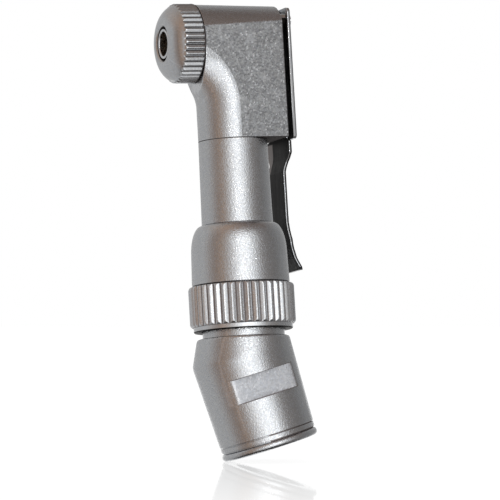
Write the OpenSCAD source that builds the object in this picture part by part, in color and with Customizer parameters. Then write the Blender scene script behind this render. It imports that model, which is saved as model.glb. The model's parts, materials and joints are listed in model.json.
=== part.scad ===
// Latch-type contra-angle head for a slow handpiece, as an assembly of separate pieces.
// The origin is the centre of the socket mouth at the bottom. +Z runs up along the neck,
// the bur leaves the head towards -X and the flat side panels face -Y and +Y.
// All lengths are in millimetres and all angles in degrees.

/* [Rear body] */
// Angle between the rear axis and the neck axis
bend_angle = 15.1; // [5:0.1:22]
// Length of the rear axis from the socket mouth to the bend
rear_len = 8.3; // [7.8:0.05:11]
// Outer radius of the rear body near the mouth
rear_mouth_r = 4.76; // [4.5:0.01:5.2]
// Outer radius of the rear body at the bend
rear_bend_r = 4.99; // [4.7:0.01:5.6]
// Radius of the rear body's top edge, below the lock ring
flare_top_r = 4.66; // [4.3:0.01:4.9]
// Height of the rear body's top edge above the bend
flare_top_h = 2.81; // [2.4:0.01:3.6]
// Flare of the upper part of the rear body, from its axis
flare_angle = 12.1; // [6:0.1:18]
// Chamfer on the top edge
flare_chamfer = 0.22; // [0.1:0.01:0.3]
// Radius of the rolled lip at the mouth
lip_r = 4.84; // [4.75:0.01:5.4]
// Height of the rolled lip
lip_h = 0.76; // [0.4:0.01:0.9]
// Width of each of the two fine grooves above the lip
rim_groove_w = 0.14; // [0.08:0.01:0.2]
// Depth of the fine grooves
rim_groove_depth = 0.13; // [0.05:0.01:0.25]
// Width of the band between the two grooves
rim_band_w = 0.36; // [0.2:0.01:0.5]
// Length of the flat pad, across the body
pad_len = 6.4; // [4:0.1:7]
// Height of the flat pad, along the body
pad_h = 2.4; // [1.5:0.1:3.2]
// Distance from the rear axis to the pad's face
pad_dist = 3.85; // [3.7:0.01:4.3]
// Height of the pad's middle above the mouth, along the rear axis
pad_z = 6.3; // [4.5:0.01:6.6]

/* [Socket and drive] */
// Radius of the socket that slides over the handpiece nose
socket_r = 3.5; // [3:0.01:3.8]
// Depth of the socket
socket_depth = 3.3; // [2.5:0.01:3.3]
// Radius of the drive dog
dog_r = 1.9; // [1.6:0.01:2.2]
// Thickness of the drive dog
dog_h = 0.85; // [0.6:0.01:0.9]
// Width of the slots across the drive dog
dog_slot_w = 0.6; // [0.4:0.01:0.8]
// Depth of the slots
dog_slot_depth = 0.4; // [0.2:0.01:0.45]
// Radius of the pin through the dog
dog_pin_r = 0.18; // [0.12:0.01:0.2]
// Radius of the rear shaft
rear_shaft_r = 0.9; // [0.7:0.01:1]
// Outer radius of the rear shaft's bushing
rear_bushing_r = 2.2; // [1.6:0.01:2.3]
// Length of the rear gear's hub
rear_hub_len = 0.2; // [0.1:0.01:0.3]

/* [Lock ring] */
// Outer radius over the ribs
ring_r = 5.2; // [5.1:0.01:5.6]
// Length of the lock ring
ring_len = 4.48; // [4:0.01:5]
// Number of ribs round the ring
ring_ribs = 40; // [24:1:60]
// Depth of the grooves between the ribs
rib_depth = 0.2; // [0.1:0.01:0.3]
// Share of each pitch that the rib's crown takes
rib_crown = 0.5; // [0.3:0.01:0.6]
// How far the plain skirt stands in from the ribs
skirt_step = 0.34; // [0.25:0.01:0.5]
// Height of the plain skirt
skirt_h = 0.5; // [0.3:0.01:0.7]
// Bevel at both ends of the ribs
ring_bevel = 0.3; // [0.2:0.01:0.4]
// Gap under the ring, over the rear body's top edge
ring_gap = 0.7; // [0.5:0.01:0.9]
// Thickness of the ring from its ribs to the spigot that carries it
ring_wall = 1.17; // [1.0:0.01:1.3]
// Height of the spigot above the collar's foot
spigot_grip = 2.1; // [1.5:0.01:2.6]
// Section of the wire that keeps the ring on its spigot
wire_h = 0.4; // [0.3:0.01:0.5]

/* [Collar] */
// How far the collar's foot stands in from the ring's ribs
collar_step = 0.41; // [0.3:0.01:0.6]
// How much narrower the collar is where its shoulder starts
collar_taper = 0.09; // [0:0.01:0.2]
// Height of the collar
collar_len = 5.89; // [5.6:0.01:7]
// Length of the rounded shoulder
collar_shoulder_len = 2.85; // [2:0.01:3.2]
// Thickness of the collar's top
collar_top = 1.68; // [1.2:0.01:2]
// Width of the slit in the clamp collet
collet_slit = 0.5; // [0.2:0.01:1]

/* [Neck] */
// Radius of the neck at the head
neck_top_r = 3.38; // [3.34:0.01:3.6]
// Radius of the neck at the collar
neck_foot_r = 3.5; // [3.4:0.01:3.7]
// Length of the visible neck sleeve
neck_len = 8.21; // [7:0.01:12]
// Radius of the journal that turns in the collar
journal_r = 3.0; // [2.9:0.01:3.1]
// Inner radius of the neck sleeve
neck_bore_r = 2.4; // [2.2:0.01:2.45]
// Radius of the neck shaft
neck_shaft_r = 0.8; // [0.6:0.01:0.9]
// Outer radius of the lower neck bushing
lower_bushing_r = 2.0; // [1.6:0.01:2.1]
// Length of each neck bushing
neck_bushing_len = 2.0; // [1.2:0.01:2]
// Length of the sleeve's spigot in the head
neck_spigot_len = 3.95; // [2.5:0.01:4]

/* [Head] */
// Distance from the bur axis down to the block's foot
block_drop = 9.67; // [9.6:0.01:12]
// Distance from the neck axis back to the block's rear face
block_back = 4.66; // [4.5:0.01:5]
// Distance from the neck axis to each flat side
flat_half = 3.35; // [3.31:0.01:3.37]
// Radius of the barrel round the bur axis
barrel_r = 3.74; // [3.6:0.01:3.85]
// Distance from the neck axis forward to the cap's rim
barrel_front = 3.57; // [3.56:0.01:4]
// Height of the flat roof over the bur axis, at the rear face
roof_back_h = 3.52; // [3.1:0.01:3.6]
// Radius of the elbow's centre line
elbow_r = 6.6; // [5:0.01:7]
// Distance from the bur axis down to the elbow's start
elbow_drop = 6.35; // [5:0.01:6.8]
// Radius of the bore round the rotor
cavity_r = 2.95; // [2.93:0.01:3]
// Radius of the bore up the neck of the head
neck_cavity_r = 2.9; // [2.88:0.01:2.95]

/* [Cap] */
// Radius over the cap's ribs
cap_r = 3.93; // [3.8:0.01:4.1]
// Distance from the neck axis to the cap's face
cap_face = 6.85; // [6.6:0.01:7.1]
// Height of the cap's dome over its ribs
cap_round = 1.13; // [0.9:0.01:1.2]
// Width of the dome's curve, from the ribs inwards
cap_dome_w = 1.84; // [1.4:0.01:1.9]
// Number of ribs round the cap
cap_ribs = 40; // [24:1:60]
// Radius of the hole in the cap
cap_hole_r = 1.62; // [1.59:0.01:1.8]
// Radius of the threaded spigot in the cap
cap_spigot_r = 3.3; // [3.2:0.01:3.35]
// Thickness of the cap's face
cap_face_t = 1.24; // [1:0.01:1.5]

/* [Rotor] */
// Radius of the bore for the bur's shank
bur_bore_r = 1.19; // [1.15:0.01:1.2]
// Outer radius of the bur tube
tube_r = 1.55; // [1.5:0.01:1.57]
// Outer radius of the tube's wider tail
tube_tail_r = 1.78; // [1.74:0.01:1.8]
// Length of the D-shaped drive socket
drive_socket_len = 1.4; // [1.2:0.01:1.45]
// Outer radius of the D-shaped drive socket
drive_socket_r = 1.52; // [1.5:0.01:1.55]
// How much wider than the bore the drive socket's round side is
drive_round_gap = 0.17; // [0.16:0.01:0.2]
// Distance from the bur axis to the flat in the drive socket
drive_flat = 0.65; // [0.5:0.01:0.9]
// Radius of the thrust flange on the tube
flange_r = 1.9; // [1.84:0.01:1.95]
// Thickness of the thrust flange on the tube
flange_t = 0.43; // [0.4:0.01:0.45]
// Outer radius of the rear bushing
back_bushing_r = 2.22; // [2.0:0.01:2.24]

/* [Gears] */
// Number of teeth on every bevel gear
teeth = 12; // [12:1:12]
// Pitch radius of the two gears in the head
head_gear_r = 2.6; // [2.55:0.01:2.62]
// Pitch radius of the two gears at the bend
bend_gear_r = 2.3; // [2.1:0.01:2.5]
// Width of the teeth along the cone, in the head
head_face_w = 0.95; // [0.6:0.01:1]
// Width of the teeth along the cone, at the bend
bend_face_w = 0.8; // [0.5:0.01:0.9]
// Thickness of the teeth on the pitch line, in the head
head_tooth_w = 0.44; // [0.3:0.01:0.46]
// Thickness of the teeth on the pitch line, at the bend
bend_tooth_w = 0.26; // [0.15:0.01:0.28]
// Height of the teeth over the pitch line, in the head
head_addendum = 0.3; // [0.2:0.01:0.32]
// Height of the teeth over the pitch line, at the bend
bend_addendum = 0.22; // [0.15:0.01:0.24]
// Slope of the tooth flanks
flank_angle = 16; // [10:1:20]
// Thickness of the thrust washers
washer_t = 0.15; // [0.1:0.01:0.2]
// Width of the thrust washers, from their bore outwards
washer_w = 0.7; // [0.5:0.01:0.8]

/* [Latch] */
// Width of the slot behind the block, for the latch lever
slot_w = 0.47; // [0.44:0.01:0.6]
// Thickness of the latch lever's sheet
lever_t = 0.32; // [0.2:0.01:0.34]
// Half width of the lever in its slot
lever_slot_half = 2.4; // [2.3:0.01:2.6]
// Half width of the lever just below the block
lever_foot_half = 2.9; // [2.7:0.01:3.1]
// Half width of the lever along the neck
lever_half = 2.1; // [1.5:0.01:2.2]
// Half width of the lever's waist over the collar
lever_waist_half = 1.75; // [1.2:0.01:1.8]
// Half width of the thumb tab
tab_half = 2.05; // [1.6:0.01:2.4]
// How far the tab's tip stands behind the neck axis
tab_reach = 5.76; // [5.5:0.01:6.2]
// Height of the tab's tip over the collar's foot
tab_h = 1.3; // [0.9:0.01:2]
// Distance from the bur axis down to the latch pivot
pivot_drop = 3.4; // [3.2:0.01:3.8]
// Radius of the latch pivot's shoulder
pivot_r = 0.6; // [0.4:0.01:0.65]
// Radius of the hook round the bur's tail
hook_r = 1.5; // [1.3:0.01:1.52]
// Half width of the hook's mouth
hook_gap = 0.9; // [0.7:0.01:0.95]
// Thickness of the back cover
cover_t = 0.42; // [0.35:0.01:0.6]
// How far the cover's outline lies inside the block's
cover_inset = 0.08; // [0.04:0.01:0.2]
// Height of the cover's top edge over the bur axis
cover_top_h = 3.1; // [2.9:0.01:3.4]
// How far the cover reaches below the block's foot
cover_foot = 0.2; // [0:0.01:0.3]
// Radius of the cover screws' heads
screw_head_r = 0.6; // [0.45:0.01:0.7]
// Radius of the cover screws' shanks
screw_r = 0.35; // [0.25:0.01:0.4]
// Length of the cover screws' threads in the block
screw_grip = 1.1; // [0.8:0.01:1.2]
// Distance of each cover screw from the middle plane
screw_y = 2.1; // [2:0.01:2.15]
// Height of the cover screws over the bur axis
screw_z = 1.9; // [1.85:0.01:2]

/* [Fits] */
// Radial clearance of a shaft that turns in a bushing
run_gap = 0.04; // [0.02:0.01:0.06]
// Gap round a piece that is pressed or screwed in
press_gap = 0.02; // [0.01:0.01:0.04]
// Gap between the handpiece's nose and the drive dog
nose_gap = 0.15; // [0.1:0.01:0.3]
// Gap between faces that turn past each other
face_gap = 0.07; // [0.05:0.01:0.1]

/* [Hidden] */
$fn = 72;
eps = 0.01;
far = 40;

// Radii that follow the lock ring
spigot_r = ring_r - ring_wall;
skirt_r = ring_r - skirt_step;
collar_r = ring_r - collar_step;
collar_shoulder_r = collar_r - collar_taper;

// Heights along the neck axis, from the bend
ring_h0 = flare_top_h + ring_gap;
ring_h1 = ring_h0 + ring_len;
collar_h0 = ring_h1 + face_gap;
collar_h1 = collar_h0 + collar_len;
spigot_h1 = collar_h0 + spigot_grip;
sleeve_foot_h = collar_h1 + face_gap;
shoulder_h = sleeve_foot_h + neck_len;
bur_h = shoulder_h + block_drop;

// Wire in its groove, shared by the spigot and the lock ring
wire_mid_h = ring_h0 + 0.65 * ring_len;
wire_groove_h = wire_h + 2 * face_gap;
wire_inner_r = spigot_r - 0.25;
wire_outer_r = spigot_r + 0.37;

// Bore that carries the journal, and the wider bore under it
journal_bore_r = journal_r + run_gap;
journal_h0 = ring_h0 + 1.4;
chamber_r = journal_r + 0.35;
sleeve_end_h = ring_h0 + 0.5;
clip_t = 0.35;
clip_h0 = sleeve_end_h + 0.35;
clip_inner_r = journal_r - 0.25;
clip_outer_r = journal_r + 0.25;

// Bevel gears: half the supplement of the bend for the lower pair, 45 degrees in the head
head_cone = 45;
bend_cone = 90 - bend_angle / 2;
dedendum_gap = 0.07;
gear_back = 0.85;

head_cone_len = head_gear_r / sin(head_cone);
bend_cone_len = bend_gear_r / sin(bend_cone);
head_gear_back = head_gear_r + gear_back * 0.8;
bend_gear_back = bend_cone_len * cos(bend_cone) + gear_back + 0.4;

// Neck shaft line
lower_bushing_h0 = sleeve_end_h + 0.4;
lower_bushing_h1 = lower_bushing_h0 + neck_bushing_len;
lower_washer_h0 = lower_bushing_h0 - washer_t - face_gap;
lower_hub_h1 = lower_washer_h0 - face_gap / 2;
neck_spigot_h1 = shoulder_h + neck_spigot_len;
upper_bushing_h0 = neck_spigot_h1 + press_gap;
upper_bushing_h1 = upper_bushing_h0 + neck_bushing_len;
upper_hub_h0 = upper_bushing_h1 + washer_t + 1.5 * face_gap;

// Rear shaft line, up the rear axis from the mouth
dog_z0 = socket_depth + nose_gap;
dog_z1 = dog_z0 + dog_h;
pocket_r = dog_r + 0.4;
pocket_z1 = dog_z1 + nose_gap;
rear_hub_z0 = rear_len - bend_gear_back - rear_hub_len;
rear_bushing_z0 = pocket_z1 + face_gap;
rear_bushing_z1 = rear_hub_z0 - washer_t - 1.5 * face_gap;
rear_chamber_r = bend_gear_r + 0.45;
rear_chamber_z0 = rear_bushing_z1 + face_gap;
dog_bore_z0 = dog_z0 + dog_slot_depth;
dog_pin_z = (dog_bore_z0 + dog_z1) / 2;

// Rotor line, along X from the neck axis
back_seat_x0 = 2.95;
back_seat_x1 = block_back - 0.36;
back_bushing_x0 = back_seat_x0 + 0.05;
back_bushing_x1 = back_seat_x1 - 0.05;
tube_tail_x = back_bushing_x1 - 0.05;
flange_x1 = back_bushing_x0 - face_gap;
flange_x0 = flange_x1 - flange_t;
socket_x1 = tube_tail_x - 0.1;
socket_x0 = socket_x1 - drive_socket_len;
nose_x = cap_face - 0.1;
spigot_x = cap_face - cap_face_t - 0.06;
front_bushing_x0 = barrel_front - 0.07;
tail_hole_r = bur_bore_r + 0.16;

// Latch lever, heights from the bur axis
cover_x0 = block_back + slot_w;
cover_x1 = cover_x0 + cover_t;
lever_mid = block_back + slot_w / 2;
tab_z = collar_h0 + tab_h - bur_h;
collar_top_z = collar_h1 - bur_h;
lever_clear = 0.14;
screw_head_h = 0.25;
pivot_thread_r = pivot_r - 0.15;
boss_r = 0.72;

satin = "silver";
polished = "gainsboro";
bronze = "peru";
hardened = "slategray";

// ---- frames -------------------------------------------------------------------------

// Rear axis: z runs up from the mouth towards the bend
module at_rear() {
    rotate([0, -bend_angle, 0]) children();
}

// Neck axis: z runs up from the bend
module at_neck() {
    translate([-rear_len * sin(bend_angle), 0, rear_len * cos(bend_angle)]) children();
}

// Head: the origin is where the bur axis crosses the neck axis
module at_head() {
    at_neck() translate([0, 0, bur_h]) children();
}

// Bur axis: z runs forward, out of the cap
module at_bur() {
    at_head() rotate([0, -90, 0]) children();
}

// ---- shared shapes ------------------------------------------------------------------

module tube(outer, inner, z0, z1) {
    translate([0, 0, z0]) difference() {
        cylinder(r = outer, h = z1 - z0);
        translate([0, 0, -eps]) cylinder(r = inner, h = z1 - z0 + 2 * eps);
    }
}

module rod(r, z0, z1) {
    translate([0, 0, z0]) cylinder(r = r, h = z1 - z0);
}

// Outline of a ribbed ring: flat crowns with slanting flanks down to narrow grooves
function rib_points(r, count, depth) =
    let (pitch = 360 / count, crown = pitch * rib_crown / 2, root = pitch * 0.42)
    [for (i = [0:count - 1], k = [0:3])
        let (a = i * pitch + [-root, -crown, crown, root][k],
             q = (k == 0 || k == 3) ? r - depth : r)
        [q * cos(a), q * sin(a)]];

module ribbed(r, count, z0, z1) {
    translate([0, 0, z0]) linear_extrude(height = z1 - z0)
        polygon(rib_points(r, count, rib_depth));
}

// Quarter of an ellipse, for rounded shoulders
function quarter(cx, cy, a, b, steps) =
    [for (i = [0:steps]) [cx + a * cos(90 * i / steps), cy + b * sin(90 * i / steps)]];

// Arc of an ellipse that starts at a slope and ends level, w inwards and h up
function dome_arc(r, z, w, h, slope, steps) =
    let (a = w / cos(slope), b = h / (1 - sin(slope)))
    [for (i = [0:steps])
        let (t = slope + (90 - slope) * i / steps)
        [r - w + a * cos(t), z + b * (sin(t) - sin(slope))]];

// A split ring round the z axis, open towards -X
module split_ring(outer, inner, z0, z1, slit) {
    difference() {
        tube(outer, inner, z0, z1);
        translate([-outer - 1, -slit / 2, z0 - 1]) cube([outer + 1, slit, z1 - z0 + 2]);
    }
}

// A bevel gear with its apex at the origin and its body below it. The pitch cone opens
// downwards at the cone angle; each tooth is a straight ridge along the cone.
module bevel_gear(cone, cone_len, face_w, tooth_w, addendum, bore_r, back_z, hub_r, hub_z, phase) {
    dedendum = addendum + dedendum_gap;
    inner_len = cone_len - face_w;
    root_in = [inner_len * sin(cone) - dedendum * cos(cone),
               -inner_len * cos(cone) - dedendum * sin(cone)];
    root_out = [cone_len * sin(cone) - dedendum * cos(cone),
                -cone_len * cos(cone) - dedendum * sin(cone)];
    sunk = 0.06;
    foot = tooth_w / 2 + (dedendum + sunk) * tan(flank_angle);
    tip = tooth_w / 2 - addendum * tan(flank_angle);
    rotate_extrude() polygon([
        [bore_r, hub_z],
        [hub_r, hub_z],
        [hub_r, back_z],
        [root_out[0], back_z],
        root_out,
        root_in,
        [bore_r, root_in[1]]
    ]);
    for (i = [0:teeth - 1])
        rotate([0, 0, 360 * i / teeth + phase])
            rotate([0, 180 - cone, 0])
                translate([0, 0, inner_len])
                    linear_extrude(height = face_w)
                        polygon([[dedendum + sunk, -foot], [-addendum, -tip],
                                 [-addendum, tip], [dedendum + sunk, foot]]);
}

// ---- rear body ----------------------------------------------------------------------

module rear_outside() {
    lip_round = lip_h / 2;
    groove_r = rear_mouth_r - rim_groove_depth;
    band_z0 = lip_h + rim_groove_w;
    band_z1 = band_z0 + rim_band_w;
    body_z0 = band_z1 + rim_groove_w;
    flare_drop = flare_top_h + 3;
    intersection() {
        at_rear() translate([0, 0, body_z0])
            cylinder(r1 = rear_mouth_r, r2 = rear_bend_r + 0.1, h = rear_len + 4 - body_z0);
        at_neck() union() {
            translate([0, 0, flare_top_h - flare_chamfer - flare_drop])
                cylinder(r1 = flare_top_r + flare_drop * tan(flare_angle), r2 = flare_top_r,
                         h = flare_drop);
            translate([0, 0, flare_top_h - flare_chamfer])
                cylinder(r1 = flare_top_r, r2 = flare_top_r - flare_chamfer,
                         h = flare_chamfer);
            translate([0, 0, -far]) cylinder(r = 3 * lip_r, h = far - flare_drop + flare_top_h);
        }
    }
    at_rear() rotate_extrude() polygon(concat(
        [[0, 0], [lip_r - lip_round, 0]],
        [for (i = [0:8]) [lip_r - lip_round + lip_round * sin(180 * i / 8),
                          lip_round - lip_round * cos(180 * i / 8)]],
        [[groove_r, lip_h], [groove_r, band_z0],
         [groove_r + rim_groove_depth / 2, band_z0], [groove_r + rim_groove_depth / 2, band_z1],
         [groove_r, band_z1], [groove_r, body_z0 + eps], [0, body_z0 + eps]]));
    at_neck() rod(spigot_r, -1, spigot_h1);
}

// The pad's footprint, from a distance off the rear axis outwards
module pad_block(from, to) {
    at_rear() translate([-pad_len / 2, -to, pad_z - pad_h / 2])
        cube([pad_len, to - from, pad_h]);
}

module rear_body() {
    color(satin) difference() {
        union() {
            difference() {
                rear_outside();
                pad_block(pad_dist, pad_dist + 3);
            }
            pad_block(socket_r - 0.4, pad_dist);
        }
        at_rear() {
            rod(socket_r, -1, socket_depth);
            rod(pocket_r, socket_depth - eps, pocket_z1);
            rod(rear_bushing_r + press_gap, pocket_z1 - eps, rear_chamber_z0 + eps);
            rod(rear_chamber_r, rear_chamber_z0, rear_len + 0.6);
        }
        at_neck() {
            rod(chamber_r, -0.2, journal_h0);
            rod(journal_bore_r, journal_h0 - eps, spigot_h1 + 1);
            tube(spigot_r + 1, wire_inner_r - 0.03, wire_mid_h - wire_groove_h / 2,
                 wire_mid_h + wire_groove_h / 2);
        }
    }
}

module rear_bushing() {
    color(bronze) at_rear()
        tube(rear_bushing_r, rear_shaft_r + run_gap, rear_bushing_z0, rear_bushing_z1);
}

module rear_shaft() {
    color(hardened) at_rear() difference() {
        rod(rear_shaft_r, dog_bore_z0 + 0.05, rear_len - 0.85);
        dog_pin_hole(dog_pin_r + press_gap);
    }
}

module rear_gear() {
    color(hardened) at_rear() translate([0, 0, rear_len])
        bevel_gear(bend_cone, bend_cone_len, bend_face_w, bend_tooth_w, bend_addendum,
                   rear_shaft_r + press_gap, -bend_gear_back, rear_shaft_r + 0.5,
                   rear_hub_z0 - rear_len, 180 / teeth);
}

module rear_thrust_washer() {
    color(bronze) at_rear()
        tube(rear_shaft_r + washer_w, rear_shaft_r + run_gap, rear_bushing_z1 + face_gap,
             rear_bushing_z1 + face_gap + washer_t);
}

module drive_dog() {
    color(hardened) at_rear() difference() {
        rod(dog_r, dog_z0, dog_z1);
        rod(rear_shaft_r + press_gap, dog_bore_z0, dog_z1 + 1);
        for (a = [0, 90])
            rotate([0, 0, a]) translate([-dog_r - 1, -dog_slot_w / 2, dog_z0 - 1])
                cube([2 * dog_r + 2, dog_slot_w, dog_slot_depth + 1]);
        dog_pin_hole(dog_pin_r + press_gap);
    }
}

// Cross hole through the dog and the shaft, for the pin that joins them
module dog_pin_hole(r) {
    translate([0, 0, dog_pin_z]) rotate([90, 0, 45]) rod(r, -dog_r - 1, dog_r + 1);
}

module dog_pin() {
    reach = dog_r - 0.05;
    color(polished) at_rear()
        translate([0, 0, dog_pin_z]) rotate([90, 0, 45]) rod(dog_pin_r, -reach, reach);
}

// ---- lock ring and collar -----------------------------------------------------------

module ring_wire() {
    color(polished) at_neck()
        split_ring(wire_outer_r, wire_inner_r, wire_mid_h - wire_h / 2,
                   wire_mid_h + wire_h / 2, 1.2);
}

module lock_ring() {
    rib_h0 = ring_h0 + skirt_h;
    color(polished) at_neck() difference() {
        union() {
            intersection() {
                ribbed(ring_r, ring_ribs, rib_h0, ring_h1);
                rotate_extrude() polygon([
                    [0, rib_h0],
                    [ring_r - ring_bevel, rib_h0],
                    [ring_r + eps, rib_h0 + ring_bevel],
                    [ring_r + eps, ring_h1 - ring_bevel],
                    [ring_r - ring_bevel, ring_h1],
                    [0, ring_h1]
                ]);
            }
            rod(skirt_r, ring_h0, rib_h0 + eps);
        }
        rod(spigot_r + face_gap, ring_h0 - 1, ring_h1 + 1);
        tube(wire_outer_r + face_gap, spigot_r - 1, wire_mid_h - wire_groove_h / 2,
             wire_mid_h + wire_groove_h / 2);
    }
}

module collar() {
    shoulder_h0 = collar_h1 - collar_shoulder_len;
    lip = journal_r + 0.58;
    color(satin) at_neck() difference() {
        rotate_extrude() polygon(concat(
            [[0, collar_h0], [collar_r, collar_h0]],
            quarter(lip, shoulder_h0, collar_shoulder_r - lip, collar_shoulder_len, 10),
            [[0, collar_h1]]));
        rod(spigot_r + press_gap, collar_h0 - 1, collar_h1 - collar_top);
        rod(journal_bore_r, collar_h0, collar_h1 + 1);
    }
}

module clamp_collet() {
    color(polished) at_neck()
        split_ring(spigot_r - 0.03, journal_bore_r, spigot_h1 + 0.1,
                   collar_h1 - collar_top - 0.1, collet_slit);
}

// ---- neck ---------------------------------------------------------------------------

module neck_sleeve() {
    color(satin) at_neck() difference() {
        union() {
            rod(journal_r, sleeve_end_h, sleeve_foot_h + eps);
            translate([0, 0, sleeve_foot_h])
                cylinder(r1 = neck_foot_r, r2 = neck_top_r, h = neck_len);
            rod(neck_cavity_r - press_gap, shoulder_h - eps, neck_spigot_h1);
        }
        rod(lower_bushing_r + press_gap, sleeve_end_h - 1, lower_bushing_h1 + eps);
        rod(neck_bore_r, lower_bushing_h1, neck_spigot_h1 + 1);
        tube(journal_r + 1, clip_inner_r - 0.03, clip_h0 - 0.03, clip_h0 + clip_t + 0.03);
    }
}

module sleeve_clip() {
    color(polished) at_neck()
        split_ring(clip_outer_r, clip_inner_r, clip_h0, clip_h0 + clip_t, 1.4);
}

module lower_neck_bushing() {
    color(bronze) at_neck()
        tube(lower_bushing_r, neck_shaft_r + run_gap, lower_bushing_h0, lower_bushing_h1);
}

module upper_neck_bushing() {
    color(bronze) at_neck()
        tube(neck_cavity_r - press_gap, neck_shaft_r + run_gap, upper_bushing_h0,
             upper_bushing_h1);
}

module neck_shaft() {
    color(hardened) at_neck() rod(neck_shaft_r, 0.85, bur_h - head_gear_r + 0.3);
}

module lower_neck_gear() {
    color(hardened) at_neck() rotate([180, 0, 180])
        bevel_gear(bend_cone, bend_cone_len, bend_face_w, bend_tooth_w, bend_addendum,
                   neck_shaft_r + press_gap, -bend_gear_back, neck_shaft_r + 0.5,
                   -lower_hub_h1, 0);
}

module upper_neck_gear() {
    color(hardened) at_head()
        bevel_gear(head_cone, head_cone_len, head_face_w, head_tooth_w, head_addendum,
                   neck_shaft_r + press_gap, -head_gear_back, neck_shaft_r + 0.6,
                   upper_hub_h0 - bur_h, 0);
}

module lower_thrust_washer() {
    color(bronze) at_neck()
        tube(neck_shaft_r + washer_w, neck_shaft_r + run_gap, lower_washer_h0,
             lower_washer_h0 + washer_t);
}

module upper_thrust_washer() {
    color(bronze) at_neck()
        tube(neck_shaft_r + washer_w, neck_shaft_r + run_gap, upper_bushing_h1 + face_gap,
             upper_bushing_h1 + face_gap + washer_t);
}

// ---- head ---------------------------------------------------------------------------

// Side view of the block, behind the elbow's centre line, in x and z
module block_outline() {
    difference() {
        translate([-barrel_front, -block_drop])
            square([barrel_front + block_back, block_drop + 1.5]);
        translate([-elbow_r, -elbow_drop]) circle(r = elbow_r);
        translate([-far, -far - elbow_drop]) square([far, far]);
    }
}

module head_outside() {
    roof_tilt = atan((barrel_r - roof_back_h) / (barrel_front + block_back));
    intersection() {
        union() {
            rotate([0, -90, 0]) rod(barrel_r, -block_back, barrel_front);
            translate([-elbow_r, 0, -elbow_drop]) rotate([90, 0, 0])
                rotate_extrude(angle = 80) translate([elbow_r, 0]) circle(r = neck_top_r);
            rod(neck_top_r, -block_drop, -elbow_drop + eps);
            rotate([90, 0, 0]) translate([0, 0, -flat_half])
                linear_extrude(height = 2 * flat_half) block_outline();
        }
        translate([-barrel_front, -flat_half, -block_drop])
            cube([barrel_front + block_back, 2 * flat_half, far]);
        translate([-barrel_front, -far / 2, barrel_r]) rotate([0, roof_tilt, 0])
            translate([-1, 0, -far]) cube([far, far, far]);
    }
}

module head_housing() {
    color(satin) at_head() difference() {
        union() {
            head_outside();
            rotate([0, -90, 0]) rod(cap_spigot_r, barrel_front - eps, spigot_x);
        }
        rotate([0, -90, 0]) {
            rod(cavity_r, -back_seat_x0, spigot_x + 1);
            rod(back_bushing_r + press_gap, -back_seat_x1, -back_seat_x0 + eps);
            rod(tail_hole_r, -block_back - 1, -back_seat_x1 + eps);
        }
        rod(neck_cavity_r, -block_drop - 1, -1.7);
        for (s = [-1, 1])
            translate([0, s * screw_y, screw_z]) rotate([0, 90, 0])
                rod(screw_r + press_gap, block_back - screw_grip - 0.1, block_back + 1);
        translate([0, 0, -pivot_drop]) rotate([0, 90, 0])
            rod(pivot_thread_r + press_gap, neck_cavity_r + 0.35, block_back + 1);
    }
}

module head_cap() {
    rib_x1 = cap_face - cap_round;
    color(polished) at_bur() difference() {
        union() {
            intersection() {
                ribbed(cap_r, cap_ribs, barrel_front + 0.05, rib_x1);
                rotate_extrude() polygon([
                    [0, barrel_front + 0.05],
                    [cap_r - 0.12, barrel_front + 0.05],
                    [cap_r + eps, barrel_front + 0.17],
                    [cap_r + eps, rib_x1 - 0.25],
                    [cap_r - 0.25, rib_x1],
                    [0, rib_x1]
                ]);
            }
            rotate_extrude() polygon(concat(
                [[0, rib_x1 - 0.3], [cap_r - rib_depth, rib_x1 - 0.3]],
                dome_arc(cap_r - rib_depth, rib_x1, cap_dome_w, cap_round, 30, 10),
                [[0, cap_face]]));
        }
        rod(cap_spigot_r + press_gap, barrel_front - 1, cap_face - cap_face_t);
        rod(cap_hole_r, barrel_front, cap_face + 1);
    }
}

module front_bushing() {
    color(bronze) at_bur()
        tube(cavity_r - press_gap, tube_r + run_gap, front_bushing_x0, spigot_x);
}

module back_bushing() {
    color(bronze) at_bur()
        tube(back_bushing_r, tube_tail_r + run_gap, -back_bushing_x1, -back_bushing_x0);
}

module bur_tube() {
    color(hardened) at_bur() difference() {
        union() {
            rod(tube_r, -flange_x0, nose_x);
            rod(flange_r, -flange_x1, -flange_x0);
            rod(tube_tail_r, -tube_tail_x, -flange_x1 + eps);
        }
        rod(bur_bore_r, -far, far);
        rod(drive_socket_r + press_gap, -far, -socket_x0 + 0.05);
    }
}

module drive_socket() {
    color(polished) at_bur() difference() {
        rod(drive_socket_r, -socket_x1, -socket_x0);
        intersection() {
            rod(bur_bore_r + drive_round_gap, -far, far);
            translate([-far, -far / 2, -far]) cube([far + drive_flat, far, 2 * far]);
        }
    }
}

module rotor_gear() {
    color(hardened) at_bur() rotate([180, 0, 0])
        bevel_gear(head_cone, head_cone_len, head_face_w, head_tooth_w, head_addendum,
                   tube_r + press_gap, -head_gear_back, tube_r + 0.5,
                   -head_gear_back - 0.02, 180 / teeth);
}

module rotor_thrust_washer() {
    color(bronze) at_bur()
        tube(tube_r + washer_w, tube_r + press_gap, front_bushing_x0 - face_gap - washer_t / 2,
             front_bushing_x0 - face_gap);
}

// ---- latch --------------------------------------------------------------------------

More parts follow.
